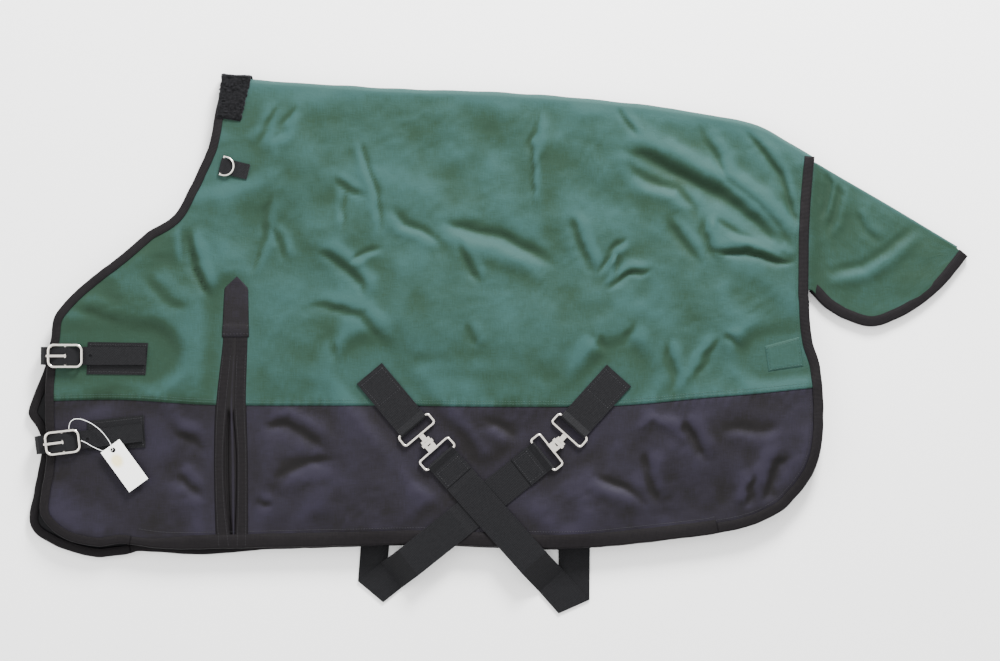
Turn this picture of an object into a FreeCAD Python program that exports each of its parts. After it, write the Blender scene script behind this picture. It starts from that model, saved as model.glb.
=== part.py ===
import FreeCAD, Part
import math
import os
from FreeCAD import Placement, Rotation, Vector

# A turnout rug for a small pony, folded in half along the spine and laid flat with its near side up.
# +X runs along the rug to the tail, +Y to the folded spine, +Z up off the floor.
# The origin is on the floor, below the middle of the folded rug.

doc = FreeCAD.newDocument("TurnoutRug")

# ---- driving dimensions -------------------------------------------------------------------------
SIZES = {
    "webbing_thick": 1.4,
    "shell_thick": 1.0,
    "batting_thick": 7.0,
    "lining_thick": 0.8,
    "fold_gap": 8.0,
    "binding_thick": 1.0,
    "binding_width": 12.0,
    "hem_width": 20.0,
    "surcingle_width": 50.8,
    "chest_width": 28.0,
    "neck_tab_width": 24.0,
    "fitting_wire": 4.0,
    "neck_ring_wire": 3.0,
    "running_gap": 0.3,
    "fleece_thick": 4.0,
    "flap_gap": 6.0,
    "ring_recess": 7.6,
    "tag_thick": 0.6,
    "string_thick": 1.0,
}
# Heights that follow from the thicknesses, as sheet formulas: off half below, near half above.
LEVELS = {
    "off_outer": "=webbing_thick",
    "off_batting": "=off_outer + shell_thick",
    "off_lining": "=off_batting + batting_thick",
    "off_inner": "=off_lining + lining_thick",
    "near_inner": "=off_inner + fold_gap",
    "near_lining": "=near_inner + lining_thick",
    "near_batting": "=near_lining + batting_thick",
    "near_outer": "=near_batting + shell_thick",
    "near_tape": "=near_outer + binding_thick",
    "flap_off_outer": "=binding_thick",
    "flap_off_lining": "=flap_off_outer + shell_thick",
    "flap_off_inner": "=flap_off_lining + lining_thick",
    "flap_near_inner": "=flap_off_inner + flap_gap",
    "flap_near_lining": "=flap_near_inner + lining_thick",
    "flap_near_outer": "=flap_near_lining + shell_thick",
    "flap_near_tape": "=flap_near_outer + binding_thick",
}

sheet = doc.addObject("Spreadsheet::Sheet", "Sizes")
for row, (alias, value) in enumerate({**SIZES, **LEVELS}.items(), start=1):
    sheet.set(f"A{row}", alias)
    sheet.set(f"B{row}", str(value))
    sheet.setAlias(f"B{row}", alias)
doc.recompute()


def size(alias):
    """The sheet's value for one alias, in millimetres."""
    return float(sheet.get(alias))


# ---- helpers ------------------------------------------------------------------------------------
NODES = []


def new_body(label):
    """A PartDesign body whose label names the node that is exported."""
    body = doc.addObject("PartDesign::Body", label)
    body.Label = label
    NODES.append(body)
    return body


def sketch_in(body, geometry, role="XY_Plane", level=None):
    """A sketch on one of the body's origin planes, lifted to a height given as a formula."""
    sketch = body.newObject("Sketcher::SketchObject", body.Name + "Sketch")
    plane = next(f for f in body.Origin.OriginFeatures if f.Role == role)
    sketch.AttachmentSupport = [(plane, "")]
    sketch.MapMode = "FlatFace"
    if level is not None:
        sketch.setExpression("AttachmentOffset.Base.z", level)
    sketch.addGeometry(geometry)
    return sketch


def pad(body, geometry, length, level=None, role="XY_Plane", symmetric=False):
    """Adds material from a sketch, upwards by a length given as a formula."""
    feature = body.newObject("PartDesign::Pad", body.Name + "Pad")
    feature.Profile = sketch_in(body, geometry, role, level)
    feature.setExpression("Length", length)
    if symmetric:
        feature.SideType = "Symmetric"
    return feature


def pocket(body, geometry, level, length=None, role="XY_Plane", symmetric=False):
    """Cuts down from a level by a length, or right through; it must take material away."""
    doc.recompute()
    before = body.Shape.Volume
    feature = body.newObject("PartDesign::Pocket", body.Name + "Pocket")
    feature.Profile = sketch_in(body, geometry, role, level)
    if length is None:
        feature.Type = "ThroughAll"
    else:
        feature.setExpression("Length", length)
    if symmetric:
        feature.SideType = "Symmetric"
    doc.recompute()
    if body.Shape.Volume > before - 0.01:
        raise RuntimeError(f"a pocket in {body.Label} cuts nothing")
    return feature


def flat(x, y):
    return Vector(x, y, 0)


def run(points):
    """One edge through its points: a line between two, a smooth curve through more."""
    if len(points) == 2:
        return Part.LineSegment(flat(*points[0]), flat(*points[1]))
    curve = Part.BSplineCurve()
    curve.interpolate([flat(*p) for p in points])
    return curve


def closed(*runs):
    """The edges of a closed outline, with a line wherever one run doesn't meet the next."""
    edges = []
    for here, after in zip(runs, runs[1:] + runs[:1]):
        edges.append(run(here))
        if math.dist(here[-1], after[0]) > 1e-6:
            edges.append(run([here[-1], after[0]]))
    return edges


def polygon(*corners):
    """Straight edges round a list of corners."""
    return [run([a, b]) for a, b in zip(corners, corners[1:] + corners[:1])]


def rectangle(x_low, x_high, y_low, y_high):
    return polygon((x_low, y_low), (x_high, y_low), (x_high, y_high), (x_low, y_high))


def shifted(points, distance):
    """The points moved sideways, to the left of the way they run, by a distance."""
    moved = []
    for i, (x, y) in enumerate(points):
        ax, ay = points[max(i - 1, 0)]
        bx, by = points[min(i + 1, len(points) - 1)]
        length = math.hypot(bx - ax, by - ay)
        moved.append((x - distance * (by - ay) / length, y + distance * (bx - ax) / length))
    return moved


def arc(x, y, radius, start, end):
    """An arc about a centre, between two angles in degrees."""
    circle = Part.Circle(flat(x, y), Vector(0, 0, 1), radius)
    return Part.ArcOfCircle(circle, math.radians(start), math.radians(end))


def circle(x, y, radius):
    return [Part.Circle(flat(x, y), Vector(0, 0, 1), radius)]


def placed(x, y, z, turn=0.0):
    """A place on the rug, turned about +Z by an angle in degrees."""
    return Placement(Vector(x, y, z), Rotation(Vector(0, 0, 1), turn))


# ---- outlines of the folded rug, clockwise from the withers -------------------------------------
SPINE = [(-428, 420), (-340, 413), (-168, 402), (0, 396), (167, 383), (300, 366), (400, 346),
         (455, 318), (494, 294)]
REAR = [(494, 294), (487, 207), (485, 138), (485, 70), (490, 10), (503, -35), (508, -95), (506, -150),
        (497, -190), (478, -222), (450, -253), (420, -272), (385, -285), (345, -293)]
NEAR_HEM = [(345, -293), (325, -297), (247, -306), (142, -316), (57, -317), (-109, -311), (-231, -313),
            (-412, -317), (-515, -318), (-575, -311)]
OFF_HEM = [(345, -293), (325, -297), (247, -308), (142, -318), (57, -320), (-109, -314), (-231, -316),
           (-371, -321), (-463, -328), (-560, -323), (-575, -326)]
COLLAR = [(-442, 354), (-428, 420)]
NECK = [(-692, 42), (-669, 73), (-626, 111), (-590, 138), (-548, 174), (-507, 200), (-481, 243),
        (-462, 283), (-449, 315), (-442, 354)]
NEAR_FRONT = [(-575, -311), (-590, -309.2), (-622, -314), (-666, -306), (-696, -288), (-714, -262),
              (-711, -225), (-704, -174), (-706, -92), (-704, -40), (-697, 10)] + NECK
OFF_FRONT = [(-575, -326), (-590, -329), (-640, -331), (-706, -308), (-733, -280), (-726, -229),
             (-716, -178), (-714, -150), (-722, -129), (-735, -108), (-729, -84), (-712, -42),
             (-698, 5)] + NECK
COLOUR_LINE = [(-770, -90), (-593, -86), (-442, -94), (-190, -95), (50, -97), (190, -95), (322, -83),
               (396, -77), (495, -67), (560, -62)]
FAR = 900.0


def half_outline(hem, front, spine_inset):
    """The outline of one half of the folded rug, its spine edge moved in by the outer layers."""
    return closed(shifted(SPINE, -spine_inset), REAR, hem, front, COLLAR)


def folded_layer(label, inset, thick, off_low, near_low, near_high):
    """One layer of cloth over the back: an off plate, a near plate and the wall round the spine."""
    body = new_body(label)
    pad(body, half_outline(OFF_HEM, OFF_FRONT, inset), f"Sizes.{thick}", f"Sizes.{off_low}")
    outer = shifted(SPINE, -inset)
    inner = shifted(SPINE, -inset - size(thick))
    wall = closed(outer, inner[::-1])
    pad(body, wall, f"Sizes.{near_high} - Sizes.{off_low}", f"Sizes.{off_low}")
    pad(body, half_outline(NEAR_HEM, NEAR_FRONT, inset), f"Sizes.{thick}", f"Sizes.{near_low}")
    return body


# The shoulder gusset's opening, from the cap down to the hem, parts the skirt in two.
GUSSET_FRONT = [(-413, 9), (-427, -92), (-430, -161), (-426, -285), (-424, -400)]
GUSSET_REAR = [(-407, 9), (-407, -92), (-404, -161), (-404, -253), (-411, -400)]

# The off neck ring is pressed into the soft underside, inside this recess.
NECK_RING = (-430.0, 280.0)
NECK_TURN = 166.0


def around_neck_ring():
    """A rectangle round the neck tab and its ring, along the tab."""
    turn = math.radians(NECK_TURN)
    corners = []
    for along, across in ((8, 19), (-46, 19), (-46, -19), (8, -19)):
        x = NECK_RING[0] + along * math.cos(turn) - across * math.sin(turn)
        y = NECK_RING[1] + along * math.sin(turn) + across * math.cos(turn)
        corners.append((x, y))
    return polygon(*corners)


# ---- outer shell, skirts, batting and lining ----------------------------------------------------
below_colour_line = closed(COLOUR_LINE, [(FAR, -FAR), (-FAR, -FAR)])
above_colour_line = closed(COLOUR_LINE, [(FAR, FAR), (-FAR, FAR)])

shell = folded_layer("outer_shell", 0.0, "shell_thick", "off_outer", "near_batting", "near_outer")
pocket(shell, below_colour_line, "Sizes.near_outer")
pocket(shell, polygon(*GUSSET_FRONT, *GUSSET_REAR[::-1]), "Sizes.near_outer")
pocket(shell, around_neck_ring(), "Sizes.off_batting", "Sizes.shell_thick")

for side, hem, front, level in (("off", OFF_HEM, OFF_FRONT, "off_outer"),
                                ("near", NEAR_HEM, NEAR_FRONT, "near_batting")):
    for piece, cut in (("chest", polygon(*GUSSET_FRONT, (FAR, -400), (FAR, 9))),
                       ("flank", polygon(*GUSSET_REAR, (-FAR, -400), (-FAR, 9)))):
        skirt = new_body(f"{side}_{piece}_skirt")
        pad(skirt, half_outline(hem, front, 0.0), "Sizes.shell_thick", f"Sizes.{level}")
        pocket(skirt, above_colour_line, f"Sizes.{level} + Sizes.shell_thick")
        pocket(skirt, cut, f"Sizes.{level} + Sizes.shell_thick")

batting = folded_layer("batting", size("shell_thick"), "batting_thick", "off_batting", "near_lining",
                       "near_batting")
pocket(batting, around_neck_ring(), "Sizes.ring_recess", "Sizes.ring_recess")

folded_layer("lining", size("shell_thick") + size("batting_thick"), "lining_thick", "off_lining",
             "near_inner", "near_lining")


# ---- bindings: tape folded over the cut edges ---------------------------------------------------
def binding(label, edge, width, low, high, floor=False, notches=(), spine_corner=None):
    """A U of tape on an edge that runs clockwise: a wall outside it and a flange on each face.

    Notches in the flange below let straps pass; the flange inside stops short of the spine's fold.
    """
    body = new_body(label)
    thick = size("binding_thick")
    outer = shifted(edge, thick)
    inner = shifted(edge, -size(width))
    foot = "0" if floor else f"Sizes.{low} - Sizes.binding_thick"
    height = f"Sizes.{high} + Sizes.binding_thick - ({foot})"
    pad(body, closed(outer, inner[::-1]), height, foot)
    beyond = shifted(edge, -size(width) - thick)
    pocket(body, closed(edge, beyond[::-1]), f"Sizes.{high}", f"Sizes.{high} - Sizes.{low}")
    for notch in notches:
        pocket(body, rectangle(*notch), f"Sizes.{low}", f"Sizes.{low} - ({foot})")
    if spine_corner:
        top = f"Sizes.{high} + Sizes.binding_thick" if floor else f"Sizes.{low}"
        pocket(body, rectangle(*spine_corner), top, "Sizes.binding_thick")
    return body


STRAP_NOTCHES = ((-219, -160, -FAR, 0), (89, 147, -FAR, 0))
BILLET_NOTCHES = ((-FAR, -680, -33, -2), (-FAR, -680, -178, -137))
SPINE_CORNER = (465, 492.5, 278, 320)
for side, front, hem, low, high in (("near", NEAR_FRONT, NEAR_HEM, "near_inner", "near_outer"),
                                    ("off", OFF_FRONT, OFF_HEM, "off_outer", "off_inner")):
    floor = side == "off"
    notches = BILLET_NOTCHES if floor else ()
    binding(f"{side}_front_binding", front, "binding_width", low, high, floor, notches)
    binding(f"{side}_rear_binding", REAR, "binding_width", low, high, floor, (), SPINE_CORNER)
    binding(f"{side}_hem_binding", hem, "hem_width", low, high, floor, STRAP_NOTCHES if floor else ())

# ---- fleece pad over the withers ----------------------------------------------------------------
fleece = new_body("withers_fleece")
pad_wall = polygon((-384, 417.5), (-384, 421), (-431, 424), (-431, 421.3))
pad(fleece, pad_wall, "Sizes.near_tape + Sizes.fleece_thick", "0")
pad(fleece, polygon((-402, 352), (-384, 421), (-431, 424), (-440, 358)), "Sizes.fleece_thick",
    "Sizes.near_tape")
pad(fleece, polygon((-402, 362), (-384, 421), (-431, 424), (-438, 366)), "Sizes.webbing_thick", "0")

# ---- shoulder gussets ---------------------------------------------------------------------------
TAPE_FRONT = GUSSET_FRONT[:4] + [(-425.8, -294)]
TAPE_REAR = GUSSET_REAR[:4] + [(-406, -294)]
for side, panel_low, tape_low, cap_low in (
    ("near", "Sizes.near_batting", "Sizes.near_outer", "Sizes.near_outer"),
    ("off", "Sizes.off_outer", "Sizes.off_outer - Sizes.binding_thick", "0"),
):
    panel = new_body(f"{side}_gusset_panel")
    opening = shifted(TAPE_FRONT, 0.3) + shifted(TAPE_REAR, -0.3)[::-1]
    pad(panel, polygon(*opening), "Sizes.lining_thick", panel_low)
    for edge, line, outward in (("front", TAPE_FRONT, -9.0), ("rear", TAPE_REAR, 9.0)):
        tape = new_body(f"{side}_gusset_{edge}_tape")
        pad(tape, polygon(*line, *shifted(line, outward)[::-1]), "Sizes.binding_thick", tape_low)
    cap = new_body(f"{side}_gusset_cap")
    arrow = polygon((-430, 11.5), (-389, 11.5), (-390, 89), (-407, 106), (-426, 89))
    pad(cap, arrow, "Sizes.webbing_thick", cap_low)

# ---- leg-strap patches at the rear edge ---------------------------------------------------------
for side, level in (("near", "Sizes.near_outer"), ("off", "Sizes.off_outer - Sizes.binding_thick")):
    patch = new_body(f"{side}_leg_patch")
    pad(patch, polygon((417, -2), (470, 12), (476, -36), (423, -42)), "Sizes.binding_thick", level)


# ---- webbing ends that hold a metal bar ---------------------------------------------------------
def loop_radius(wire):
    """Outer radius of webbing wrapped round a bar of this wire, with room to turn."""
    return size(wire) / 2 + size("running_gap") + size("webbing_thick")


def webbing_end(body, width, wire, length, ramp):
    """Webbing doubled back round a bar: its loop is about the local Y axis, and it runs to -X."""
    outer = loop_radius(wire)
    double = 2 * size("webbing_thick")
    side = [
        run([(-length, 0), (0, 0)]),
        arc(0, outer, outer, -90, 90),
        run([(0, 2 * outer), (-ramp, double)]),
        run([(-ramp, double), (-length, double)]),
        run([(-length, double), (-length, 0)]),
    ]
    pad(body, side, f"Sizes.{width}", role="XZ_Plane", symmetric=True)
    hole = circle(0, outer, size(wire) / 2 + size("running_gap"))
    pocket(body, hole, None, f"Sizes.{width} + 2", role="XZ_Plane", symmetric=True)


def bar_loop(body, length, width, radius, wire, height):
    """A closed loop of wire about the local origin: length along X, width along Y."""
    x, y = length / 2, width / 2
    path = [
        run([(0, y), (radius - x, y)]),
        arc(radius - x, y - radius, radius, 90, 180),
        run([(-x, y - radius), (-x, radius - y)]),
        arc(radius - x, radius - y, radius, 180, 270),
        run([(radius - x, -y), (x - radius, -y)]),
        arc(x - radius, radius - y, radius, 270, 360),
        run([(x, radius - y), (x, y - radius)]),
        arc(x - radius, y - radius, radius, 0, 90),
        run([(x - radius, y), (0, y)]),
    ]
    spine = sketch_in(body, path, level=str(height))
    profile = sketch_in(body, circle(y, height, size(wire) / 2), role="YZ_Plane")
    pipe = body.newObject("PartDesign::AdditivePipe", body.Name + "Pipe")
    pipe.Profile = profile
    pipe.Spine = spine
    return pipe


# ---- neck rings ---------------------------------------------------------------------------------
NECK_TAB_LENGTH = 42.0
RING_TILT = 8.0
RING_HALF_WIDTH, RING_STRAIGHT = 14.5, 4.0
for side, base, flip in (("near", size("near_outer"), False), ("off", size("ring_recess"), True)):
    over = Rotation(Vector(1, 0, 0), 180 if flip else 0)
    turn = Rotation(Vector(0, 0, 1), NECK_TURN)
    tab = new_body(f"{side}_neck_tab")
    webbing_end(tab, "neck_tab_width", "neck_ring_wire", NECK_TAB_LENGTH, 8.0)
    tab.Placement = Placement(Vector(*NECK_RING, base), turn * over)

    ring = new_body(f"{side}_neck_ring")
    half, straight = RING_HALF_WIDTH, RING_STRAIGHT
    path = [
        run([(0, half), (0, -half)]),
        run([(0, -half), (-straight, -half)]),
        arc(-straight, 0, half, 90, 270),
        run([(-straight, half), (0, half)]),
    ]
    spine = sketch_in(ring, path)
    profile = sketch_in(ring, circle(0, 0, size("neck_ring_wire") / 2), role="XZ_Plane")
    pipe = ring.newObject("PartDesign::AdditivePipe", ring.Name + "Pipe")
    pipe.Profile = profile
    pipe.Spine = spine
    pipe.Transition = "Right corner"
    lift = loop_radius("neck_ring_wire") * (-1 if flip else 1)
    tilted = turn * over * Rotation(Vector(0, 1, 0), RING_TILT)
    ring.Placement = Placement(Vector(*NECK_RING, base + lift), tilted)


# ---- chest closures -----------------------------------------------------------------------------
FRAME_LENGTH, FRAME_WIDTH, FRAME_CORNER = 51.8, 34.0, 9.0
CHAPE_LENGTH = 74.0
PATCH_THICK = 1.2
CHAPE_LIFT = size("near_outer") + PATCH_THICK
RAIL_LIFT = 4.6
TONGUE_WIDTH = 3.6
for name, x, y, turn, wrap, patch_corners in (
    ("upper", -674.4, -17.2, 180.0, 39.0, ((-640, 4.4), (-546, 3), (-550, -47), (-642, -46))),
    ("lower", -678.4, -151.9, 187.0, 43.5, ((-641, -119), (-553, -110), (-550, -160), (-640, -165))),
):
    patch = new_body(f"{name}_chest_patch")
    pad(patch, polygon(*patch_corners), str(PATCH_THICK), "Sizes.near_outer")

    # Chape: webbing round the centre bar, with a slot for the tongue, sewn to the patch.
    chape = new_body(f"{name}_chape")
    webbing_end(chape, "chest_width", "fitting_wire", CHAPE_LENGTH, 9.0)
    pocket(chape, rectangle(-9.5, 12, -3.4, 3.4), "20")
    chape.Placement = placed(x, y, CHAPE_LIFT, turn)

    # Buckle frame: a rounded oblong of wire above its lower centre bar.
    bar = loop_radius("fitting_wire")
    rail = bar + RAIL_LIFT
    frame = new_body(f"{name}_buckle_frame")
    bar_loop(frame, FRAME_LENGTH, FRAME_WIDTH, FRAME_CORNER, "fitting_wire", rail)
    pad(frame, circle(0, bar, size("fitting_wire") / 2), str(FRAME_WIDTH), role="XZ_Plane", symmetric=True)
    for side in (-1, 1):
        y_mid = side * FRAME_WIDTH / 2
        pad(frame, rectangle(-1.9, 1.9, y_mid - 1.9, y_mid + 1.9), str(rail - bar), str(bar))
    frame.Placement = placed(x, y, CHAPE_LIFT, turn)

    # Tongue: an eye round the centre bar and a bent pin that rests on the front bar.
    tongue = new_body(f"{name}_buckle_tongue")
    eye = size("fitting_wire") / 2 + size("running_gap")
    side_view = [
        run([(0, bar + eye + 1.2), (9, rail + 0.4)]),
        run([(9, rail + 0.4), (22, rail + 4.6)]),
        run([(22, rail + 4.6), (29, rail + 4.6)]),
        run([(29, rail + 4.6), (29, rail + 2.3)]),
        run([(29, rail + 2.3), (22.5, rail + 2.3)]),
        run([(22.5, rail + 2.3), (10, rail - 2.2)]),
        run([(10, rail - 2.2), (3.2, bar - 2.2)]),
        run([(3.2, bar - 2.2), (0, bar - eye - 1.2)]),
        run([(0, bar - eye - 1.2), (-2.9, bar - 2.6)]),
        run([(-2.9, bar - 2.6), (-3.9, bar)]),
        run([(-3.9, bar), (-3, bar + 2.8)]),
        run([(-3, bar + 2.8), (0, bar + eye + 1.2)]),
    ]
    pad(tongue, side_view, str(TONGUE_WIDTH), role="XZ_Plane", symmetric=True)
    pocket(tongue, circle(0, bar, eye), None, "6", role="XZ_Plane", symmetric=True)
    tongue.Placement = placed(x, y, CHAPE_LIFT, turn)

    # Billet: under the front bar, over the centre bar, then under the rear bar; its other end goes
    # round the chest edges and under the off half.
    billet = new_body(f"{name}_billet")
    thick = size("webbing_thick")
    drop = -CHAPE_LIFT
    crest = 2 * bar + 0.4
    rest = 2 * thick + 0.1
    below_bar = rest + 1.6
    top = [(-125, rest + thick), (-19, rest + thick), (-5, crest + thick), (4, crest + thick),
           (21, below_bar + thick), (wrap - 6, below_bar + thick), (wrap, rest - 2), (wrap, drop + 4),
           (wrap - 3, drop), (-30, drop)]
    under = [(-30, drop + thick), (wrap - 4, drop + thick), (wrap - thick, drop + 4.5),
             (wrap - thick, rest - 2.5), (wrap - 6.6, below_bar), (20.5, below_bar), (3.6, crest),
             (-4.6, crest), (-18.6, rest), (-125, rest)]
    pad(billet, polygon(*top, *under), "Sizes.chest_width", role="XZ_Plane", symmetric=True)
    pocket(billet, rectangle(-2, 19.5, -3, 3), "30", "30")
    pocket(billet, circle(-39, 0, 2.4), "30", "30")
    billet.Placement = placed(x, y, CHAPE_LIFT, turn)


# ---- crossed surcingles -------------------------------------------------------------------------
RING_DEPTH, RING_SPAN, RING_CORNER = 18.0, 60.0, 4.4
BAR_HEIGHT = loop_radius("fitting_wire")
HEAD_TO_BAR = 18.0
HEAD_TO_STRAP_BAR = 13.5


def hook_fitting(label, x, y, turn):
    """A wire loop for the tab with a flat tongue that ends in a cross-headed stud."""
    body = new_body(label)
    bar_loop(body, RING_DEPTH, RING_SPAN, RING_CORNER, "fitting_wire", BAR_HEIGHT)
    front = RING_DEPTH / 2
    pad(body, rectangle(front - 1.5, front + HEAD_TO_BAR + 2, -4, 4), "2.0", str(BAR_HEIGHT - 3.0))
    pad(body, rectangle(front - 1.5, front + 1.5, -4, 4), "3.0", str(BAR_HEIGHT - 3.0))
    stud = front + HEAD_TO_BAR
    pad(body, circle(stud, 0, 2.0), "6.9", str(BAR_HEIGHT - 1.5))
    pad(body, rectangle(stud - 2.6, stud + 2.6, -10, 10), "2.6", str(BAR_HEIGHT + 3.8))
    body.Placement = placed(x, y, size("near_outer"), turn)
    return body


def eye_fitting(label, x, y, turn):
    """A wire loop for the strap with a slotted plate that the stud stands in."""
    body = new_body(label)
    bar_loop(body, RING_DEPTH, RING_SPAN, RING_CORNER, "fitting_wire", BAR_HEIGHT)
    front = RING_DEPTH / 2
    reach = HEAD_TO_STRAP_BAR + 7.5
    pad(body, rectangle(front - 1.5, front + reach, -8, 8), "1.6", str(BAR_HEIGHT + 0.4))
    slot = HEAD_TO_STRAP_BAR
    pocket(body, rectangle(front + slot - 4.6, front + slot + 4.6, -3, 3), str(BAR_HEIGHT + 2.0), "1.6")
    body.Placement = placed(x, y, size("near_outer"), turn)
    return body


# The sewn part of each diagonal tab, the stud's place, and the way the strap then runs.
SURCINGLES = {
    "front": {"stud": (-109.2, -153.3), "tab_turn": -50.0, "strap_turn": -48.4},
    "rear": {"stud": (94.4, -153.4), "tab_turn": 228.0, "strap_turn": 218.6},
}
TAB_LENGTH = 106.0
for name, place in SURCINGLES.items():
    stud_x, stud_y = place["stud"]
    along = math.radians(place["tab_turn"])
    back = HEAD_TO_BAR + RING_DEPTH
    bar_x = stud_x - back * math.cos(along)
    bar_y = stud_y - back * math.sin(along)
    tab = new_body(f"{name}_surcingle_tab")
    webbing_end(tab, "surcingle_width", "fitting_wire", TAB_LENGTH, 10.0)
    tab.Placement = placed(bar_x, bar_y, size("near_outer"), place["tab_turn"])
    mid = RING_DEPTH / 2
    hook_fitting(f"{name}_hook", bar_x + mid * math.cos(along), bar_y + mid * math.sin(along),
                 place["tab_turn"])

    onward = math.radians(place["strap_turn"])
    ahead = HEAD_TO_STRAP_BAR + RING_DEPTH
    place["bar"] = (stud_x + ahead * math.cos(onward), stud_y + ahead * math.sin(onward))
    eye_x = place["bar"][0] - mid * math.cos(onward)
    eye_y = place["bar"][1] - mid * math.sin(onward)
    eye_fitting(f"{name}_eye", eye_x, eye_y, place["strap_turn"] + 180)


def surcingle_strap(name, underside, fold_mid, fold_angle, far_end):
    """A belly strap: loop end, run over the near half and down past the hem, fold, run beneath.

    The underside is a list of (distance from the bar, height above the near half).
    """
    width, thick = size("surcingle_width"), size("webbing_thick")
    outer = loop_radius("fitting_wire")
    base = size("near_outer")
    body = new_body(f"{name}_surcingle_strap")
    # Local X points back at the loop, so the strap itself runs to -X.
    below = [(0, 0)] + [(-x, z) for x, z in underside]
    above = [(x, z + thick) for x, z in below[:0:-1]]
    doubled = [(-SEWN_RETURN, underside[0][1] + 2 * thick), (-10, 2 * thick + RETURN_RISE), (0, 2 * outer)]
    side = below + above + doubled
    edges = [run([a, b]) for a, b in zip(side, side[1:])]
    edges.append(arc(0, outer, outer, -90, 90))
    pad(body, edges, "Sizes.surcingle_width", role="XZ_Plane", symmetric=True)
    hole = circle(0, outer, size("fitting_wire") / 2 + size("running_gap"))
    pocket(body, hole, None, "Sizes.surcingle_width + 2", role="XZ_Plane", symmetric=True)

    turn = math.radians(SURCINGLES[name]["strap_turn"])
    bar_x, bar_y = SURCINGLES[name]["bar"]

    def local(x, y):
        dx, dy = bar_x - x, bar_y - y
        return dx * math.cos(turn) + dy * math.sin(turn), dy * math.cos(turn) - dx * math.sin(turn)

    # The fold line crosses the strap, from edge to edge, at its own angle.
    fold = math.radians(fold_angle)
    middle = local(*fold_mid)
    ahead = local(fold_mid[0] + math.cos(fold), fold_mid[1] + math.sin(fold))
    slope = (ahead[0] - middle[0]) / (ahead[1] - middle[1])
    low, high = [(middle[0] + slope * v, v) for v in (-width / 2, width / 2)]
    start = -underside[-1][0] + 8
    foot = str(-base)
    pad(body, polygon((start, -width / 2), low, high, (start, width / 2)), "Sizes.webbing_thick",
        f"Sizes.webbing_thick + {FOLD_SLACK} - {base}")
    inside = [(x + 2.5, v) for x, v in (high, low)]
    pad(body, polygon(low, high, *inside), f"2 * Sizes.webbing_thick + {FOLD_SLACK}", foot)
    ends = [local(far_end[0] + side * width / 2, far_end[1]) for side in (-1, 1)]
    ends.sort(key=lambda end: math.dist(end, high))
    pad(body, polygon(low, high, *ends), "Sizes.webbing_thick", foot)
    body.Placement = placed(bar_x, bar_y, base, SURCINGLES[name]["strap_turn"] + 180)


SEWN_RETURN = 42.0
RETURN_RISE = 0.4
FOLD_SLACK = 0.1
AT_FLOOR = size("webbing_thick") + FOLD_SLACK - size("near_outer")
OVER_REAR_STRAP = size("webbing_thick") + 0.3
OVER_HEM = size("binding_thick") + 0.3
surcingle_strap("front", [(SEWN_RETURN, 0.4), (55, OVER_REAR_STRAP), (218, OVER_REAR_STRAP),
                          (260, AT_FLOOR), (272, AT_FLOOR)], (117, -414.4), 24.0, (121, -70))
surcingle_strap("rear", [(SEWN_RETURN, 0.0), (156, 0.0), (166, OVER_HEM), (268, OVER_HEM),
                         (304, AT_FLOOR), (312, AT_FLOOR)], (-196, -393), 140.0, (-171, -70))

# ---- tail flap ----------------------------------------------------------------------------------
FLAP_ROOT = [(490.5, 84), (499.5, 288)]
FLAP_FOLD = [(499.5, 288), (610, 222), (723, 152)]
FLAP_TIP = [(723, 152), (735.5, 139)]
FLAP_EDGE = [(735.5, 139), (703, 98), (669, 67), (638, 48), (609, 35), (586, 30), (562, 35), (524, 53),
             (490.5, 84)]


def folded_flap(label, inset, thick, off_low, near_low, near_high):
    """One layer of the tail flap, folded along the line of the spine."""
    body = new_body(label)
    fold = shifted(FLAP_FOLD, -inset)
    outline = closed(FLAP_ROOT, fold, FLAP_TIP, FLAP_EDGE)
    pad(body, outline, f"Sizes.{thick}", f"Sizes.{off_low}")
    wall = closed(fold, shifted(FLAP_FOLD, -inset - size(thick))[::-1])
    pad(body, wall, f"Sizes.{near_high} - Sizes.{off_low}", f"Sizes.{off_low}")
    pad(body, outline, f"Sizes.{thick}", f"Sizes.{near_low}")
    return body


folded_flap("tail_flap_shell", 0.0, "shell_thick", "flap_off_outer", "flap_near_lining", "flap_near_outer")
folded_flap("tail_flap_lining", size("shell_thick"), "lining_thick", "flap_off_lining", "flap_near_inner",
            "flap_near_lining")
binding("near_flap_binding", FLAP_EDGE, "binding_width", "flap_near_inner", "flap_near_outer")
binding("off_flap_binding", FLAP_EDGE, "binding_width", "flap_off_outer", "flap_off_inner")

# ---- swing tag and its string -------------------------------------------------------------------
TAG_HOLE = (-599.5, -164.0)
TAG_LEVEL = 35.0
TAG_TURN = -54.0
TAG_HOLE_RADIUS = 4.0
tag = new_body("swing_tag")
pad(tag, rectangle(-8, 68, -18, 18), "Sizes.tag_thick")
pocket(tag, circle(0, 0, TAG_HOLE_RADIUS), "Sizes.tag_thick")
tag.Placement = placed(*TAG_HOLE, TAG_LEVEL, TAG_TURN)

STRING_ROUTE = [
    (-668.3, -130.6, 37.2), (-667.6, -121.5, 38.8), (-659.0, -114.5, 39.5), (-646.0, -116.0, 39.5),
    (-631.0, -123.0, 39.5), (-617.0, -134.0, 39.5), (-606.0, -148.0, 39.3), (-600.2, -160.0, 39.0),
    (-599.5, -164.5, 35.5), (-603.5, -166.0, 31.8), (-612.0, -166.5, 32.3), (-622.0, -163.5, 33.8),
    (-633.0, -158.0, 35.8), (-642.0, -152.0, 36.9), (-649.2, -149.2, 37.2),
]


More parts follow.
